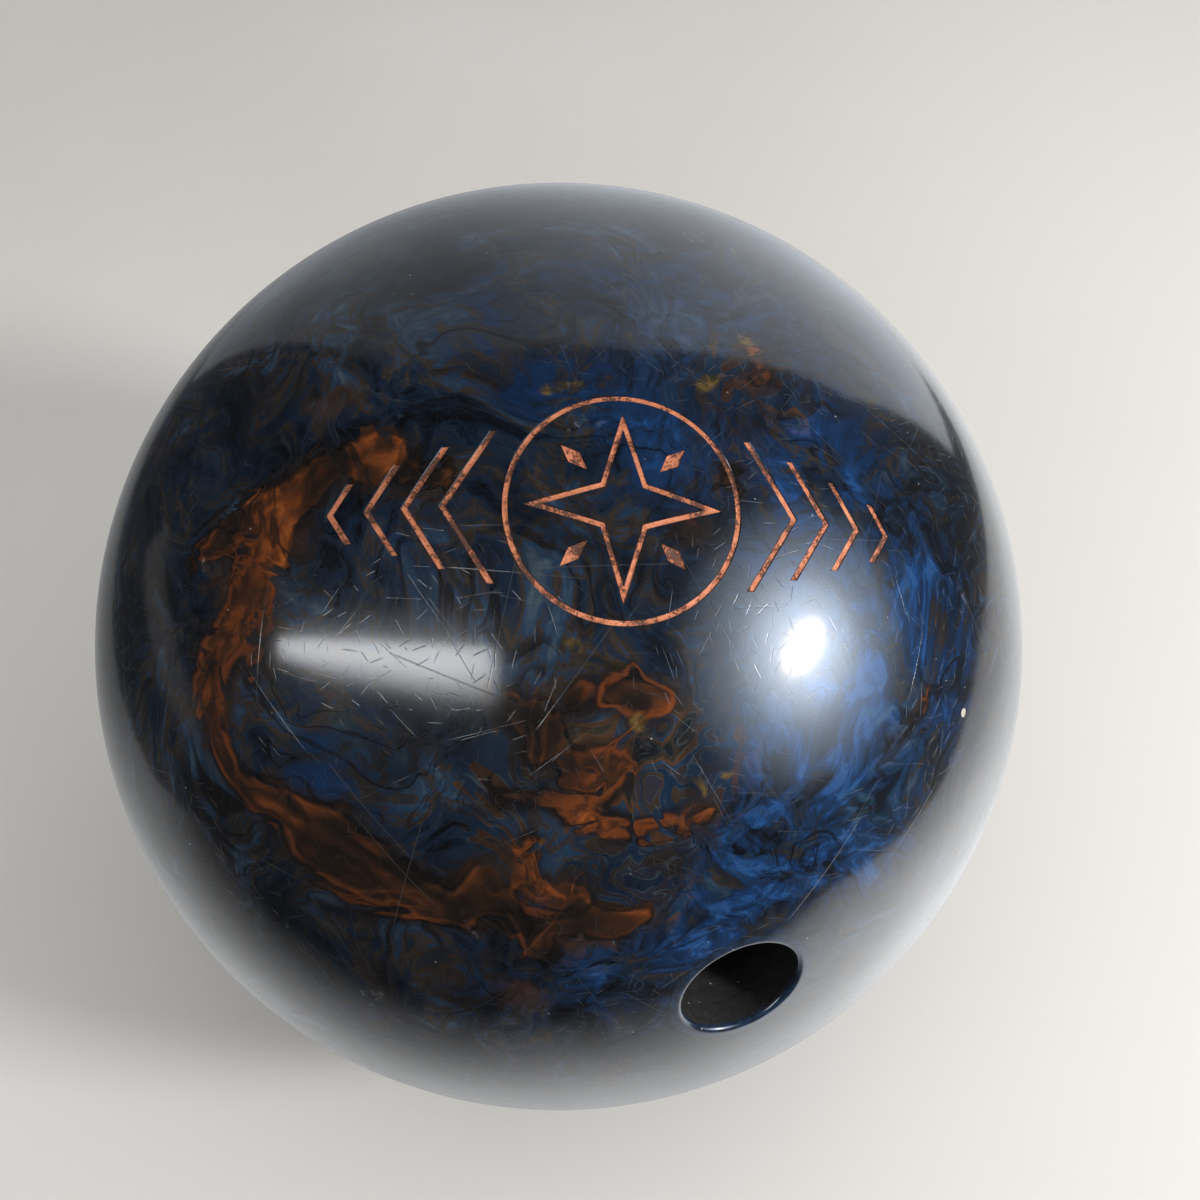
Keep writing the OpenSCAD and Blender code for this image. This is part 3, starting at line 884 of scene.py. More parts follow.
def nicks(n, P, shift, cells, half_len, width, share):
    """Straight fine scratches, one to a cell, each with a direction of its own."""
    q = n.vec("ADD", P, shift)
    v = n.t.nodes.new("ShaderNodeTexVoronoi")
    v.inputs["Scale"].default_value = cells
    n._in(v.inputs["Vector"], q)
    at = n.vec("SUBTRACT", v.outputs["Position"], shift)
    up = n.vec("NORMALIZE", at)
    off = n.vec("SUBTRACT", P, at)
    t = n.vec("NORMALIZE", n.vec("CROSS_PRODUCT", n.vec("SUBTRACT", v.outputs["Color"], (0.5, 0.5, 0.5)), up))
    across = n.math("ABSOLUTE", n.vec("DOT_PRODUCT", off, t))
    flat = n.vec("SUBTRACT", off, n.vec("SCALE", up, scale=n.vec("DOT_PRODUCT", off, up)))
    line = n.mul(n.step(across, width * 0.3, width, 1, 0), n.step(n.vec("LENGTH", flat), half_len * 0.35, half_len, 1, 0))
    return n.mul(line, n.step(n.split(v.outputs["Color"])[0], 1.0 - share, 1.0 - share + 0.25))


def coverstock_material():
    n = Nodes("coverstock_urethane")
    P = n.vec("SCALE", n.co, scale=10.0)
    w1 = n.warp(P, 0.9, 0.55, 1.0)
    w2 = n.warp(w1, 2.2, 0.30, 1.0, shift=3.0)
    w3 = n.warp(w2, 5.5, 0.15, 1.0, shift=7.0)
    w4 = n.warp(w3, 14.0, 0.050, 1.0, shift=11.0)

    cu, ol, bl, fo = n.attr("copper"), n.attr("olive"), n.attr("blue"), n.attr("folds")

    # dark ground: navy, brown and grey smoke stirred into black, combed by fine flow lines
    mott = n.noise(w4, 4.4, 4.0, 0.64, dist=1.1)
    stir = n.noise(w3, 2.1, 2.0, 0.55, dist=1.3)
    flow = n.noise(w3, 1.5, 1.5)
    lines = n.noise(None, 1.0, 3.0, 0.62, dims="1D", w=n.mul(flow, 15.0))
    sx, sy, sz = n.split(w3)
    fibre = n.noise(n.combine(n.mul(n.noise(w4, 2.3, 1.5), 26.0), n.mul(n.add(sx, sz), 2.2), n.mul(n.sub(sy, sz), 2.2)), 1.0, 3.0, 0.62)
    grain = n.noise(w4, 22.0, 3.0, 0.66, dist=0.6)
    g = n.madd(n.sub(fibre, 0.5), 0.62, n.madd(n.sub(grain, 0.5), 0.52, n.madd(n.sub(mott, 0.5), 1.15, 0.51)))
    ground = n.ramp(g, [(0.26, (0.0024, 0.0028, 0.0040)), (0.37, (0.0042, 0.0080, 0.0160)), (0.45, (0.0065, 0.0165, 0.0380)),
                        (0.52, (0.0170, 0.0185, 0.0215)), (0.57, (0.0360, 0.0235, 0.0135)), (0.64, (0.0120, 0.0330, 0.0720)),
                        (0.80, (0.0520, 0.0780, 0.1000))])
    ground = n.mix(n.step(stir, 0.36, 0.58, 0.70, 0.0), ground, (0.0030, 0.0038, 0.0056))

    # blue clouds, torn into streaks by the flow
    patch = n.noise(w4, 5.0, 4.0, 0.66, dist=1.6)
    b = n.mul(bl, n.step(patch, 0.34, 0.66, -0.05, 1.22, False))
    b = n.madd(n.mul(bl, n.sub(lines, 0.5)), 0.8, b)
    b = n.madd(n.mul(bl, n.sub(fibre, 0.5)), 2.2, b)
    b = n.madd(n.mul(bl, n.sub(grain, 0.5)), 2.2, b)
    blue = n.ramp(b, [(0.0, (0.0030, 0.0045, 0.0085)), (0.20, (0.0040, 0.0105, 0.0260)), (0.42, (0.0055, 0.0200, 0.0600)),
                      (0.64, (0.0055, 0.0260, 0.0820)), (0.86, (0.0055, 0.0390, 0.1380)), (1.0, (0.0110, 0.0620, 0.2050))])
    base = n.mix(n.step(b, 0.08, 0.40), ground, blue)

    # smoky brown and grey-green drifts
    br, te = n.attr("brown"), n.attr("teal")
    smoke = n.step(n.madd(n.sub(n.noise(n.vec("ADD", w3, (4.0, 1.0, 2.0)), 2.4, 3.0, 0.6, dist=0.8), 0.5), 2.2, n.madd(br, 1.0, -0.42)), 0.0, 0.45)
    smoke = n.mul(smoke, n.step(n.madd(grain, 0.4, n.mul(fibre, 0.6)), 0.34, 0.58, 0.25, 1.0))
    base = n.mix(n.mul(smoke, 0.78), base, n.mix(n.step(mott, 0.42, 0.60), (0.0170, 0.0100, 0.0065), (0.0520, 0.0220, 0.0095)))
    tm = n.mul(n.step(n.madd(te, 0.9, n.mul(bl, 0.35)), 0.16, 0.80), n.step(n.madd(fibre, 0.6, n.mul(patch, 0.4)), 0.45, 0.62))
    base = n.mix(n.mul(tm, 0.72), base, n.mix(n.step(grain, 0.40, 0.62), (0.0120, 0.0420, 0.0600), (0.0480, 0.0860, 0.1000)))

    # short pale flecks of stretched pigment
    fleck = n.mul(n.step(grain, 0.62, 0.76), n.step(n.noise(w2, 3.0, 2.0), 0.44, 0.62))
    base = n.mix(n.mul(fleck, 0.34), base, (0.060, 0.085, 0.110))

    # feathered dark seams
    ff = n.noise(n.vec("ADD", w4, (2.2, 9.1, 4.3)), 2.4, 2.0, 0.5, dist=0.9)
    ftri = n.noise(n.combine(n.mul(ff, 40.0), n.mul(n.add(sy, sz), 1.6), n.mul(n.sub(sx, sy), 1.6)), 1.0, 2.0, 0.55)
    comb = n.step(n.noise(w2, 4.5, 1.0), 0.38, 0.58)
    base = n.mix(n.mul(n.step(ftri, 0.52, 0.64), n.mul(comb, 0.80)), base, (0.0030, 0.0033, 0.0045))
    base = n.mix(n.mul(n.step(ftri, 0.34, 0.44, 1, 0), n.mul(n.sub(1.0, comb), 0.42)), base, (0.0300, 0.0440, 0.0600))

    # folded patch: nested outlines and small fills
    f = n.noise(n.vec("ADD", w4, (1.3, 5.1, 0.4)), 4.6, 2.5, 0.54, dist=1.3)
    fw = n.noise(n.vec("ADD", w4, (8.3, 1.1, 3.4)), 6.0, 1.0)
    bands = n.madd(f, 22.0, n.mul(fw, 5.0))
    fr = n.math("FRACT", bands)
    tri = n.math("ABSOLUTE", n.madd(fr, 2.0, -1.0))
    cell = n.noise(None, 1.0, 0.0, dims="1D", w=n.madd(n.math("FLOOR", bands), 7.31, 2.0))
    fill = n.ramp(cell, [(0.24, (0.0035, 0.0035, 0.0045)), (0.36, (0.0100, 0.0110, 0.0130)), (0.43, (0.0060, 0.0170, 0.0400)),
                         (0.50, (0.0280, 0.0230, 0.0310)), (0.56, (0.0260, 0.0200, 0.0090)), (0.64, (0.0800, 0.0330, 0.0090)),
                         (0.74, (0.0120, 0.0330, 0.0700))])
    fill = n.mix(n.step(mott, 0.44, 0.60, 0.6, 0.0), fill, (0.0040, 0.0040, 0.0050))
    outline = n.mul(n.step(tri, 0.66, 0.98), n.mul(n.step(grain, 0.38, 0.60), n.step(stir, 0.42, 0.58)))
    fill = n.mix(n.mul(outline, 0.55), fill, (0.052, 0.075, 0.085))
    fold = n.step(n.madd(n.sub(patch, 0.5), 1.6, fo), 0.34, 0.70)
    base = n.mix(n.mul(fold, 0.88), base, fill)

    # copper veins, with a brown halo, dark seams and a bright lip
    edge = n.mul(n.sub(n.noise(w3, 6.0, 3.5, 0.60, dist=0.9), 0.5), 6.0)
    fine = n.mul(n.sub(n.noise(w3, 40.0, 2.0, 0.6), 0.5), 0.7)
    wn = n.noise(n.vec("ADD", w3, (3.3, 1.9, 6.1)), 4.2, 2.0, 0.5, dist=1.3)
    wisp = n.step(n.math("ABSOLUTE", n.sub(wn, 0.5)), 0.0, 0.050, 1, 0)
    sn = n.noise(n.vec("ADD", w3, (9.2, 4.4, 0.7)), 4.6, 2.0, 0.5, dist=1.2)
    seam = n.step(n.math("ABSOLUTE", n.sub(sn, 0.5)), 0.004, 0.042, 1, 0)
    seam = n.mul(seam, n.step(n.noise(w2, 2.6, 1.0), 0.46, 0.60, 0.0, 0.85))
    s0 = n.add(n.madd(cu, 1.0, 1.15), n.add(edge, fine))
    s = n.madd(wisp, 2.4, n.sub(s0, n.mul(seam, 2.0)))
    curl = n.noise(w3, 4.0, 2.5, 0.52, dist=1.2)
    nest = n.noise(None, 1.0, 1.5, 0.5, dims="1D", w=n.madd(s0, 0.42, n.mul(curl, 2.6)))
    drive = n.madd(n.math("MINIMUM", n.math("MAXIMUM", s, -1.5), 3.6), 0.125, -0.03)
    drive = n.madd(n.sub(curl, 0.5), 2.0, drive)
    drive = n.madd(n.sub(nest, 0.5), 1.6, drive)
    drive = n.madd(n.sub(n.noise(w2, 2.7, 2.0), 0.5), 1.2, drive)
    tone = n.ramp(drive, [(0.0, (0.0065, 0.0050, 0.0042)), (0.18, (0.0170, 0.0095, 0.0060)), (0.36, (0.0380, 0.0155, 0.0070)),
                          (0.54, (0.0800, 0.0250, 0.0080)), (0.74, (0.1850, 0.0480, 0.0100)), (1.0, (0.3300, 0.0950, 0.0180))])
    rim = n.mul(n.step(n.math("ABSOLUTE", n.sub(s, 0.9)), 0.1, 0.9, 1, 0), n.step(n.noise(w2, 4.2, 1.0), 0.46, 0.62))
    tone = n.mix(n.mul(rim, 0.60), tone, (0.2000, 0.0500, 0.0105))
    tone = n.mix(n.mul(seam, 0.70), tone, (0.0120, 0.0080, 0.0065))
    tone = n.mix(n.step(grain, 0.34, 0.58, 0.35, 0.0), tone, (0.0170, 0.0110, 0.0085))
    halo = n.mul(n.step(s0, -4.6, -0.2), n.step(n.madd(curl, 0.5, n.mul(fibre, 0.5)), 0.42, 0.58))
    base = n.mix(n.mul(halo, 0.66), base, (0.0240, 0.0145, 0.0090))
    dark = n.mul(n.step(s, -1.8, -0.1), n.step(n.noise(w2, 5.0, 1.0), 0.38, 0.58))
    base = n.mix(n.mul(dark, 0.80), base, (0.0040, 0.0036, 0.0038))
    soft = n.step(n.noise(w1, 6.0, 1.0), 0.40, 0.62)
    lo_e = n.madd(soft, -1.9, -0.25)
    mask = n.step(s, lo_e, n.madd(soft, 1.2, 0.30))
    base = n.mix(mask, base, tone)

    # olive patches
    so = n.add(n.add(ol, n.mul(edge, 0.8)), fine)
    base = n.mix(n.mul(n.step(so, -0.3, 0.7), 0.85), base,
                 n.mix(n.step(grain, 0.35, 0.65), (0.030, 0.024, 0.008), (0.150, 0.095, 0.024)))

    # depth below the ball surface tells grooves and drilled faces apart
    rad = n.mul(n.vec("LENGTH", n.co), 1000.0)
    deep = n.step(rad, R - 0.35, R - 0.06, 1, 0)
    drilled = n.step(rad, R - 2.2, R - 1.2, 1, 0)
    base = n.mix(n.mul(deep, 0.55), base, (0.006, 0.006, 0.007))

    # wear: hairlines everywhere, a few longer scratches, dust
    h1 = nicks(n, P, (3.1, 0.4, 1.7), 3.4, 0.20, 0.0009, 0.8)
    h2 = nicks(n, P, (7.9, 2.2, 5.3), 6.5, 0.10, 0.0008, 0.8)
    h3 = nicks(n, P, (1.3, 8.6, 2.9), 15.0, 0.045, 0.0008, 0.6)
    h4 = nicks(n, P, (5.5, 4.1, 9.2), 30.0, 0.018, 0.0012, 0.8)
    hair = n.math("MAXIMUM", n.math("MAXIMUM", h1, h2), n.math("MAXIMUM", h3, h4))
    worn = n.step(n.noise(P, 2.4, 3.0, 0.6), 0.35, 0.70)
    hair = n.mul(hair, n.madd(worn, 0.70, 0.30))
    long_ = scratches(n, P, 14, 5, 0.13, 0.0014)
    scuff = n.mul(n.step(n.noise(P, 6.5, 4.0, 0.62), 0.66, 0.74), n.step(n.noise(P, 55.0, 3.0, 0.7), 0.48, 0.62))
    cellp = n.voronoi(P, 19.0, out="Distance")
    pick = n.noise(P, 19.0, 0.0)
    dust = n.mul(n.step(cellp, 0.018, 0.040, 1, 0), n.step(pick, 0.50, 0.58))
    base = n.mix(n.mul(hair, 0.07), base, (0.20, 0.22, 0.24))
    base = n.mix(n.mul(long_, 0.30), base, (0.09, 0.09, 0.09))
    base = n.mix(n.mul(scuff, 0.25), base, (0.30, 0.30, 0.29))
    base = n.mix(n.mul(dust, 0.75), base, (0.42, 0.42, 0.40))

    rough = n.madd(worn, 0.08, 0.27)
    rough = n.madd(deep, 0.25, rough)
    coat_rough = n.madd(n.noise(P, 3.2, 4.0, 0.65), 0.060, 0.080)
    coat_rough = n.madd(hair, 0.13, coat_rough)
    coat_rough = n.madd(scuff, 0.25, coat_rough)
    coat = n.mul(n.step(drilled, 0.0, 1.0, 1.0, 0.15), n.step(dust, 0.0, 1.0, 1.0, 0.3))

    micro = n.madd(n.noise(P, 330.0, 2.0, 0.5), 0.12, n.mul(n.noise(P, 14.0, 3.0, 0.55), 0.9))
    hgt = n.sub(n.sub(micro, n.mul(hair, 1.3)), n.mul(long_, 1.3))
    tool = n.mul(n.noise(None, 1.0, 1.0, dims="1D", w=n.mul(rad, 3.4)), n.mul(drilled, 6.0))
    nrm = n.bump(n.add(hgt, tool), 0.000012, 1.0)
    n.set(Base_Color=base, Roughness=rough, IOR=1.5, Specular_IOR_Level=0.12, Normal=nrm, Coat_Weight=coat,
          Coat_Roughness=coat_rough, Coat_IOR=1.56, Coat_Normal=nrm)
    return n.mat


def slug_material():
    n = Nodes("thumb_slug_urethane")
    P = n.vec("SCALE", n.co, scale=1000.0)
    rad = n.vec("LENGTH", P)
    top = n.step(rad, R - 1.7, R - 0.8)
    spot = n.noise(P, 0.55, 4.0, 0.65)
    fleck = n.noise(P, 3.2, 3.0, 0.7)
    col = n.ramp(spot, [(0.25, (0.009, 0.009, 0.009)), (0.5, (0.014, 0.014, 0.014)), (0.75, (0.020, 0.020, 0.0195))])
    col = n.mix(n.step(fleck, 0.60, 0.74, 0, 0.5), col, (0.034, 0.033, 0.032))
    # painted shade: the bore turns near black further down, where shade falls deep in the hole
    deep = n.step(rad, R - 22.0, R - 9.0, 1, 0)
    col = n.mix(n.mul(deep, 0.85), col, (0.0022, 0.0022, 0.0022))
    col = n.mix(n.mul(top, 0.9), col, n.mix(n.step(spot, 0.40, 0.62), (0.0045, 0.0080, 0.0160), (0.0070, 0.0180, 0.0420)))
    # faint turning marks round the bore and sanding across them
    axis = tuple(THUMB.d)
    along = n.vec("DOT_PRODUCT", P, axis)
    turn = n.noise(None, 1.0, 2.0, 0.6, dims="1D", w=n.mul(along, 2.3))
    sand = n.noise(n.vec("ADD", n.vec("SCALE", P, scale=2.6), n.vec("SCALE", axis, scale=n.mul(along, -2.2))), 1.0, 3.0, 0.6)
    hgt = n.mul(n.madd(turn, 0.9, n.madd(sand, 0.8, n.mul(fleck, 0.4))), n.step(top, 0, 1, 1.0, 0.06))
    nrm = n.bump(hgt, 0.00012, 0.8)
    fine = n.bump(n.mul(n.noise(P, 0.14, 3.0, 0.55), n.step(top, 0, 1, 1.0, 0.5)), 0.00001, 1.0)
    dustm = n.mul(n.step(n.voronoi(P, 0.42), 0.05, 0.10, 1, 0), n.step(n.noise(P, 0.42, 0.0), 0.55, 0.62))
    col = n.mix(n.mul(dustm, 0.5), col, (0.35, 0.34, 0.32))
    n.set(Base_Color=col, Roughness=n.madd(spot, 0.18, n.step(top, 0, 1, 0.70, 0.24)), Specular_IOR_Level=n.step(top, 0, 1, 0.02, 0.12),
          Normal=nrm, Coat_Weight=n.mul(top, 1.0), Coat_Roughness=0.085, Coat_IOR=1.56, Coat_Normal=fine)
    return n.mat


def grip_material():
    n = Nodes("grip_vinyl")
    P = n.vec("SCALE", n.co, scale=1000.0)
    a = n.noise(P, 0.35, 4.0, 0.6)
    b = n.noise(P, 2.4, 3.0, 0.7)
    col = n.ramp(a, [(0.3, (0.012, 0.013, 0.016)), (0.55, (0.020, 0.021, 0.025)), (0.75, (0.034, 0.034, 0.036))])
    col = n.mix(n.step(b, 0.58, 0.72, 0, 0.45), col, (0.075, 0.073, 0.070))
    rub = n.mul(n.step(n.vec("LENGTH", P), R - 2.0, R - 0.6), n.step(a, 0.35, 0.65, 0.4, 1.0))
    col = n.mix(n.mul(rub, 0.35), col, (0.045, 0.046, 0.050))
    nrm = n.bump(n.madd(b, 0.6, n.mul(n.noise(P, 7.0, 2.0), 0.5)), 0.00010, 0.7)
    n.set(Base_Color=col, Roughness=n.madd(a, 0.25, n.step(rub, 0, 1, 0.42, 0.30)), Specular_IOR_Level=0.5, Normal=nrm,
          Sheen_Weight=0.12, Sheen_Roughness=0.4)
    return n.mat


def glue_material():
    n = Nodes("bonding_adhesive")
    P = n.vec("SCALE", n.co, scale=1000.0)
    a = n.noise(P, 0.6, 4.0, 0.6)
    b = n.voronoi(P, 2.6)
    col = n.ramp(a, [(0.3, (0.006, 0.008, 0.012)), (0.6, (0.011, 0.014, 0.021)), (0.8, (0.022, 0.024, 0.029))])
    col = n.mix(n.step(b, 0.05, 0.16, 0.7, 0), col, (0.016, 0.014, 0.012))
    nrm = n.bump(n.madd(a, 1.0, n.mul(n.step(b, 0.05, 0.25), 0.5)), 0.00006, 0.8)
    n.set(Base_Color=col, Roughness=n.madd(a, 0.25, 0.22), Normal=nrm, Specular_IOR_Level=0.15, Coat_Weight=1.0,
          Coat_Roughness=0.11, Coat_IOR=1.56)
    return n.mat


def paint_material():
    n = Nodes("emblem_copper_paint")
    P = n.vec("SCALE", n.co, scale=1000.0)
    rad = n.vec("LENGTH", P)
    a = n.noise(P, 0.22, 4.0, 0.6)
    b = n.noise(P, 1.9, 4.0, 0.72)
    c = n.noise(n.vec("ADD", P, (31.0, 7.0, 13.0)), 5.5, 3.0, 0.7)
    col = n.ramp(b, [(0.30, (0.42, 0.130, 0.060)), (0.48, (0.72, 0.240, 0.115)), (0.66, (0.90, 0.370, 0.200)),
                     (0.80, (0.94, 0.50, 0.33))])
    col = n.mix(n.step(a, 0.35, 0.65, 0.0, 0.30), col, (0.60, 0.180, 0.080))
    low = n.step(rad, R - 0.52, R - 0.28, 1, 0)
    gone = n.step(n.madd(low, 0.16, n.madd(n.sub(a, 0.5), 1.0, b)), 0.50, 0.60)
    spk = n.step(c, 0.60, 0.70)
    col = n.mix(n.mul(gone, 0.88), col, (0.020, 0.015, 0.014))
    col = n.mix(n.mul(spk, 0.45), col, (0.060, 0.028, 0.020))
    hgt = n.sub(n.madd(b, 0.8, n.mul(c, 0.5)), n.mul(gone, 0.9))
    nrm = n.bump(hgt, 0.00014, 0.9)
    n.set(Base_Color=col, Roughness=n.madd(b, 0.30, 0.30), Metallic=n.mul(n.step(gone, 0, 1, 1, 0), 0.12), Normal=nrm,
          Specular_IOR_Level=0.45)
    return n.mat


def pin_material():
    n = Nodes("locator_pin_resin")
    P = n.vec("SCALE", n.co, scale=1000.0)
    a = n.noise(n.warp(P, 0.10, 5.0, 2.0), 0.26, 4.0, 0.6)
    b = n.noise(P, 3.0, 3.0, 0.7)
    col = n.ramp(a, [(0.3, (0.26, 0.055, 0.014)), (0.5, (0.42, 0.105, 0.024)), (0.7, (0.55, 0.190, 0.060))])
    col = n.mix(n.step(b, 0.60, 0.74, 0, 0.5), col, (0.15, 0.040, 0.015))
    nrm = n.bump(n.madd(b, 0.25, a), 0.000014, 1.0)
    n.set(Base_Color=col, Roughness=n.madd(a, 0.12, 0.26), Specular_IOR_Level=0.42, Coat_Weight=1.0, Coat_IOR=1.56,
          Coat_Roughness=n.madd(b, 0.05, 0.05), Normal=nrm, Coat_Normal=nrm)
    return n.mat


def mark_material():
    n = Nodes("balance_mark_resin")
    P = n.vec("SCALE", n.co, scale=1000.0)
    a = n.noise(P, 2.2, 4.0, 0.65)
    col = n.ramp(a, [(0.3, (0.42, 0.38, 0.30)), (0.55, (0.66, 0.62, 0.52)), (0.75, (0.78, 0.75, 0.66))])
    nrm = n.bump(a, 0.00005, 0.8)
    n.set(Base_Color=col, Roughness=n.madd(a, 0.25, 0.25), Normal=nrm, Coat_Weight=0.7, Coat_Roughness=0.1)
    return n.mat


def core_material(name, stops, bead, bead_size):
    """Cast filler: a resin body full of small hollow beads, with trowelled drifts."""
    n = Nodes(name)
    P = n.vec("SCALE", n.co, scale=1000.0)
    a = n.noise(n.warp(P, 0.02, 20.0, 2.0), 0.06, 5.0, 0.6)
    v = n.voronoi(P, bead_size)
    b = n.noise(P, 1.7, 4.0, 0.7)
    col = n.ramp(a, stops)
    col = n.mix(n.step(v, 0.12, 0.34, 0.55, 0.0), col, bead)
    col = n.mix(n.step(b, 0.58, 0.75, 0.0, 0.35), col, (0.03, 0.03, 0.03))
    nrm = n.bump(n.madd(n.step(v, 0.05, 0.4, 1, 0), 0.8, b), 0.0002, 0.7)
    n.set(Base_Color=col, Roughness=n.madd(b, 0.25, 0.55), Normal=nrm, Specular_IOR_Level=0.4)
    return n.mat


# ----------------------------------------------------------------------- build

def place(obj, mat, node):
    obj.data.materials.clear()
    obj.data.materials.append(mat)
    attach(obj, "root")
    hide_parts(node)
    return obj


shell = build_coverstock()
paint_fields(shell.data)
place(shell, coverstock_material(), "coverstock")

slug = place(build_slug(), slug_material(), "thumb_slug")
glue = glue_material()
place(build_slug_glue(), glue, "thumb_slug_adhesive")
grip_mat = grip_material()
place(build_grip("ring_finger_grip_sleeve", RING), grip_mat, "ring_finger_grip")
place(build_grip("middle_finger_grip_sleeve", MIDDLE), grip_mat, "middle_finger_grip")
place(build_grip_glue("ring_grip_glue_line", RING), glue, "ring_grip_adhesive")
place(build_grip_glue("middle_grip_glue_line", MIDDLE), glue, "middle_grip_adhesive")
place(build_plug("locator_pin_rod", PIN, PIN_A - 0.004, PIN_FLOOR, 0.0, 96, 5), pin_material(), "locator_pin")
place(build_plug("balance_mark_dot", CG, CG_A - 0.004, R - CG_DEPTH + 0.004, 0.03, 40, 3), mark_material(), "cg_marker")

pv, pf = emblem_solid([(-0.053, R - GROOVE + 0.003), (-0.012, R - 0.27), (-0.09, R - PAINT_SINK - 0.01), (-0.26, R - PAINT_SINK - 0.05)],
                      rough=0.10, step=0.8)
place(finish_solid("emblem_paint_fill", pv, pf, 60), paint_material(), "emblem_paint")

core_mat = core_material("filler_core_resin", [(0.3, (0.10, 0.105, 0.11)), (0.5, (0.16, 0.165, 0.17)), (0.7, (0.23, 0.23, 0.225))],
                         (0.42, 0.42, 0.40), 0.9)
block_mat = core_material("weight_block_resin", [(0.3, (0.26, 0.15, 0.03)), (0.5, (0.38, 0.24, 0.05)), (0.7, (0.50, 0.34, 0.09))],
                          (0.60, 0.50, 0.28), 0.55)
for node, m, sl in (("outer_core", core_mat, "outer_core"), ("weight_block", block_mat, "weight_block")):
    for o in bpy.data.objects:
        if o.type == "MESH" and o.name.split(".")[0] == node:
            o.data.materials.clear()
            o.data.materials.append(m)


# ------------------------------------------------------------- studio and light

def emitter(name, colour, strength_nodes):
    """Emission material; strength_nodes(n) gives the strength socket or number."""
    m = bpy.data.materials.new(name)
    m.use_nodes = True
    t = m.node_tree
    t.nodes.clear()
    n = Nodes.__new__(Nodes)
    n.mat, n.t = m, t
    n.out = t.nodes.new("ShaderNodeOutputMaterial")
    em = t.nodes.new("ShaderNodeEmission")
    t.links.new(em.outputs[0], n.out.inputs[0])
    n.co = t.nodes.new("ShaderNodeTexCoord").outputs["Object"]
    n._in(em.inputs["Color"], colour)
    n._in(em.inputs["Strength"], strength_nodes(n))
    return m


def card(name, corners, mat, diffuse=False, shadow=False):
    me = bpy.data.meshes.new(name)
    if len(corners) == 4:                     # a fine grid, so that the glow runs evenly across a tapered card
        nu, nv = 24, 12
        a, b, c, d = (Vector(k) for k in corners)
        at = [(i / nu, j / nv) for j in range(nv + 1) for i in range(nu + 1)]
        quads = [(j * (nu + 1) + i, j * (nu + 1) + i + 1, (j + 1) * (nu + 1) + i + 1, (j + 1) * (nu + 1) + i)
                 for j in range(nv) for i in range(nu)]
        me.from_pydata([tuple((a * (1 - u) + b * u) * (1 - v) + (d * (1 - u) + c * u) * v) for u, v in at], [], quads)
        uv = me.uv_layers.new(name="uv")
        for k, loop in enumerate(me.loops):
            uv.data[k].uv = at[loop.vertex_index]
    else:
        me.from_pydata([tuple(c) for c in corners], [], [tuple(range(len(corners)))])
    o = new_object(name, me)
    me.materials.append(mat)
    o.visible_camera = False
    o.visible_diffuse = diffuse
    o.visible_glossy = True
    o.visible_transmission = False
    o.visible_volume_scatter = False
    o.visible_shadow = shadow
    return o


def facing(pos, target, up=Vector((0, 0, 1))):
    """Two unit vectors across the line from pos to target."""
    d = (Vector(target) - Vector(pos)).normalized()
    x = d.cross(up).normalized()
    return x, x.cross(d).normalized()


FLOOR = -0.1085

# white sweep: flat table that curves up into a wall all round
prof = [(0.0, 0.0), (0.02, 0.0), (0.6, 0.0), (1.1, 0.0)]
prof += [(1.5 + 0.6 * math.sin(a), 0.6 - 0.6 * math.cos(a)) for a in np.linspace(0, math.pi / 2, 14)]
prof += [(2.1, 1.2), (2.1, 2.0)]
seg = 96
sv, sf = [], []
for i, (r_, z_) in enumerate(prof[1:]):
    for j in range(seg):
        a = 2 * math.pi * j / seg
        sv.append((r_ * math.cos(a), r_ * math.sin(a), z_ + FLOOR))
for i in range(len(prof) - 2):
    for j in range(seg):
        sf.append((i * seg + j, (i + 1) * seg + j, (i + 1) * seg + (j + 1) % seg, i * seg + (j + 1) % seg))
sf.append(tuple(range(seg)))
sme = bpy.data.meshes.new("white_sweep")
sme.from_pydata(sv, [], sf)
sme.polygons.foreach_set("use_smooth", [True] * len(sme.polygons))
sweep = new_object("white_sweep", sme)
n = Nodes("white_sweep_paint")
soft = n.noise(n.vec("SCALE", n.co, scale=3.0), 1.3, 3.0, 0.5)
tooth = n.noise(n.vec("SCALE", n.co, scale=1000.0), 0.5, 4.0, 0.6)
sweep_tone = n.mix(n.step(soft, 0.3, 0.7), (0.80, 0.785, 0.765), (0.84, 0.83, 0.815))
# painted pool of light: the sweep is lighter toward +x, the side the key lamp stands on
n.set(Base_Color=n.mix(n.step(n.split(n.co)[0], -0.05, 0.30), sweep_tone, (0.92, 0.905, 0.885)), Roughness=0.65,
      Normal=n.bump(tooth, 0.00006, 0.6), Specular_IOR_Level=0.0)
sme.materials.append(n.mat)
sweep.visible_glossy = False

# what the polished shell mirrors: the lit table, the wall behind, a lamp and a tube
def rise(n, x, stops):
    """Piecewise smooth curve through (x, value) stops."""
    v = stops[0][1]
    for (x0, y0), (x1, y1) in zip(stops, stops[1:]):
        v = n.add(v, n.mul(n.step(x, x0, x1), y1 - y0)) if not isinstance(v, float) else n.madd(n.step(x, x0, x1), y1 - y0, v)
    return v


def table_glow(n):
    x, y, z = n.split(n.co)
    r_ = n.vec("LENGTH", n.combine(x, y, 0.0))
    # dimmer close to the ball: painted contact shade in the mirrored table
    near = n.step(r_, 0.04, 0.165, 0.25, 1.0)
    front = rise(n, x, [(-0.34, 0.36), (-0.10, 0.66), (0.03, 1.00), (0.20, 1.80), (0.36, 1.05)])
    back = rise(n, x, [(-0.34, 0.17), (-0.12, 0.33), (0.06, 0.58), (0.26, 0.98), (0.34, 0.80), (0.50, 0.55)])
    rim = n.step(n.madd(x, 0.26, y), -0.300, -0.115)
    return n.mul(n.mul(near, rim), n.mix_f(n.step(y, -0.10, 0.06), front, back))


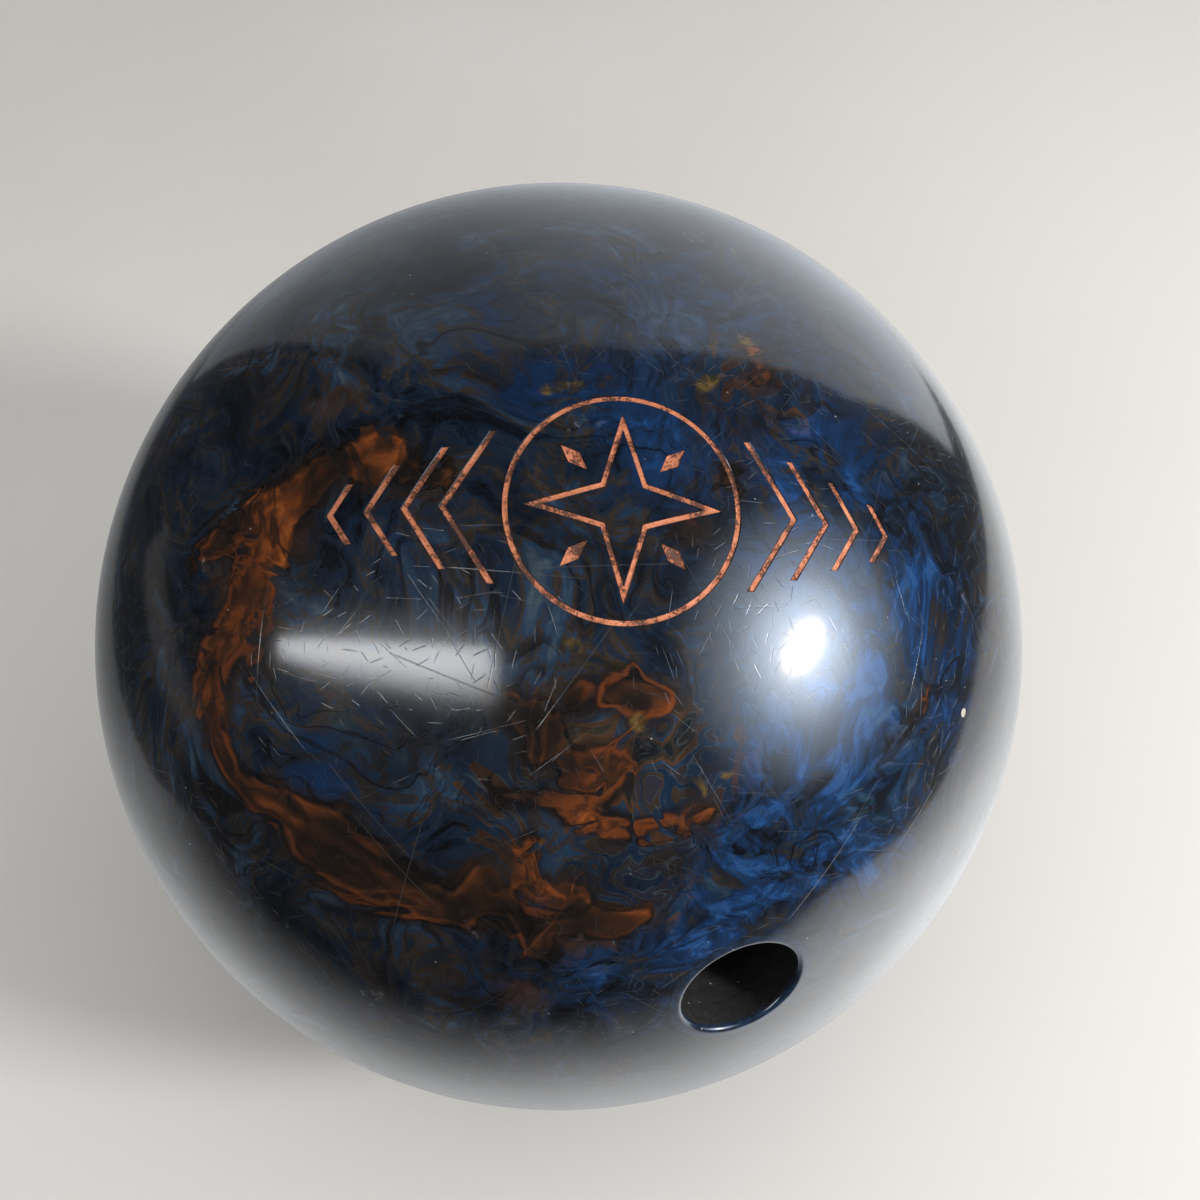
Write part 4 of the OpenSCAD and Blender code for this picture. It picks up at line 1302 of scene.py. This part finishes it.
def wall_glow(n):
    x, y, z = n.split(n.co)
    low = n.step(z, 0.10, 0.62, 1.08, 0.92)
    return n.mul(low, rise(n, x, [(-0.36, 0.24), (-0.16, 0.34), (0.06, 0.64), (0.28, 0.98), (0.50, 1.00)]))


zt = FLOOR - 0.0006
card("mirrored_table", [(-0.40, -0.215, zt), (-0.14, -0.282, zt), (0.0, -0.318, zt), (0.12, -0.300, zt), (0.315, -0.285, zt), (0.362, -0.10, zt),
                        (0.505, 0.07, zt), (0.42, 0.20, zt), (0.345, 0.30, zt), (0.33, 0.398, zt), (-0.33, 0.398, zt), (-0.33, 0.10, zt), (-0.33, -0.06, zt)],
     emitter("mirrored_table_glow", (0.975, 0.99, 1.0), table_glow))
card("mirrored_wall", [(-0.39, 0.40, FLOOR), (0.545, 0.40, FLOOR), (0.565, 0.40, 0.26), (0.40, 0.40, 0.48), (0.20, 0.40, 0.66),
                       (-0.10, 0.40, 0.70), (-0.42, 0.40, 0.62)],
     emitter("mirrored_wall_glow", (0.90, 0.96, 1.04), wall_glow))
card("mirrored_side", [(-0.72, -0.16, -0.10), (-0.72, 0.26, -0.10), (-0.72, 0.26, 0.0), (-0.72, -0.16, 0.0)],
     emitter("mirrored_side_glow", (1.0, 0.93, 0.86), lambda n: 0.20))

lamp_at = Vector((1.219, -0.520, 0.690))
lx, ly = facing(lamp_at, (0.04, -0.04, 0.06))


def lamp_glow(n):
    off = n.vec("SUBTRACT", n.co, tuple(lamp_at))
    a, b = n.vec("DOT_PRODUCT", off, tuple(lx / 0.185)), n.vec("DOT_PRODUCT", off, tuple(ly / 0.110))
    return n.step(n.vec("LENGTH", n.combine(a, b, 0.0)), 0.40, 1.0, 58.0, 13.5)


lamp = card("round_lamp", [lamp_at + 0.185 * math.cos(a) * lx + 0.110 * math.sin(a) * ly for a in angles(48)],
            emitter("round_lamp_glow", (1.0, 0.985, 0.96), lamp_glow))


def lamp_halo(n):
    d_ = n.vec("DISTANCE", n.co, tuple(lamp_at))
    return n.add(n.mul(n.step(d_, 0.0, 0.94, 1, 0), 6.6), n.mul(n.step(d_, 0.10, 0.48, 1, 0), 7.6))


back_off = (lamp_at - Vector((0.04, -0.04, 0.06))).normalized() * 0.02
card("lamp_halo", [lamp_at + back_off + 0.94 * (math.cos(a) * lx + math.sin(a) * ly) for a in angles(64)],
     emitter("lamp_halo_glow", (0.77, 0.91, 1.10), lamp_halo))


def tube_glow(n):
    uvn = n.t.nodes.new("ShaderNodeUVMap")
    uvn.uv_map = "uv"
    u, v, _ = n.split(uvn.outputs[0])
    v = n.add(v, n.mul(n.sub(u, 0.3), 0.05))
    body = n.mul(n.step(v, 0.15, 0.50), n.step(v, 0.585, 0.665, 1, 0))
    ends = n.mul(n.step(u, 0.0, 0.03), n.step(u, 0.88, 0.99, 1, 0))
    haze = n.mul(n.mul(n.step(v, 0.0, 0.45), n.step(v, 0.55, 1.0, 1, 0)), n.mul(n.step(u, 0.0, 0.20), n.step(u, 0.70, 1.0, 1, 0)))
    return n.madd(haze, 1.5, n.mul(n.mul(body, ends), 9.8))


card("tube_light", [(-1.070, -0.423, 0.395), (-0.200, -0.995, 0.716), (-0.203, -0.512, 1.117), (-1.073, -0.259, 0.514)],
     emitter("tube_light_glow", (0.96, 0.98, 1.0), tube_glow))

# the light that falls on the colours themselves; not mirrored in the shell
def soft_lamp(name, at, target, size, watts, colour):
    d = bpy.data.lights.new(name, "AREA")
    d.shape, d.size, d.size_y = "RECTANGLE", size[0], size[1]
    d.energy, d.color = watts, colour
    o = bpy.data.objects.new(name, d)
    bpy.context.scene.collection.objects.link(o)
    o.location = at
    o.rotation_euler = (Vector(target) - Vector(at)).to_track_quat("-Z", "Y").to_euler()
    o.visible_glossy = False
    o.visible_camera = False
    return o


soft_lamp("ceiling_softbox", (0.25, -0.25, 1.50), (0.1, 0, 0), (1.6, 1.3), 7.0, (1.0, 0.985, 0.96))
soft_lamp("key_softbox", (0.92, -0.40, 0.62), (0.06, -0.04, 0.02), (0.20, 0.20), 8.6, (1.0, 0.985, 0.96))
soft_lamp("window_softbox", (-0.60, -0.62, 0.70), (0, 0, 0), (0.9, 0.25), 1.2, (0.93, 0.97, 1.0))

# the lamp's beam into the bore, which its dark lining hardly shows otherwise
bore = soft_lamp("bore_light", (1.179, -0.510, 0.762), (0.036, -0.099, 0.027), (0.14, 0.14), 30.0, (1.0, 0.985, 0.96))
only = bpy.data.collections.new("lit_by_bore_light")
only.objects.link(slug)
bore.light_linking.receiver_collection = only

world = bpy.context.scene.world or bpy.data.worlds.new("studio")
bpy.context.scene.world = world
world.use_nodes = True
wt = world.node_tree
wt.nodes.clear()
wo = wt.nodes.new("ShaderNodeOutputWorld")
bg = wt.nodes.new("ShaderNodeBackground")
lp = wt.nodes.new("ShaderNodeLightPath")
mixw = wt.nodes.new("ShaderNodeMix")
mixw.data_type = "RGBA"
ins = [s for s in mixw.inputs if s.type == "RGBA"]
ins[0].default_value = (0.30, 0.30, 0.297, 1)
ins[1].default_value = (0.026, 0.028, 0.032, 1)
wt.links.new(lp.outputs["Is Glossy Ray"], mixw.inputs[0])
wt.links.new([s for s in mixw.outputs if s.type == "RGBA"][0], bg.inputs["Color"])
wt.links.new(bg.outputs[0], wo.inputs[0])

# --------------------------------------------------------------------- camera

cam_data = bpy.data.cameras.new("camera")
cam_data.lens, cam_data.sensor_width, cam_data.sensor_fit = 39.0, 36.0, "HORIZONTAL"
cam_data.clip_start, cam_data.clip_end = 0.01, 20.0
cam = bpy.data.objects.new("camera", cam_data)
bpy.context.scene.collection.objects.link(cam)
cam.location = (0.00912, -0.18625, 0.26417)
cam.rotation_euler = (math.radians(90 - 53), 0, 0)
bpy.context.scene.camera = cam

vs = bpy.context.scene.view_settings
vs.view_transform = "Standard"
vs.look = "None"
vs.exposure = 0.0
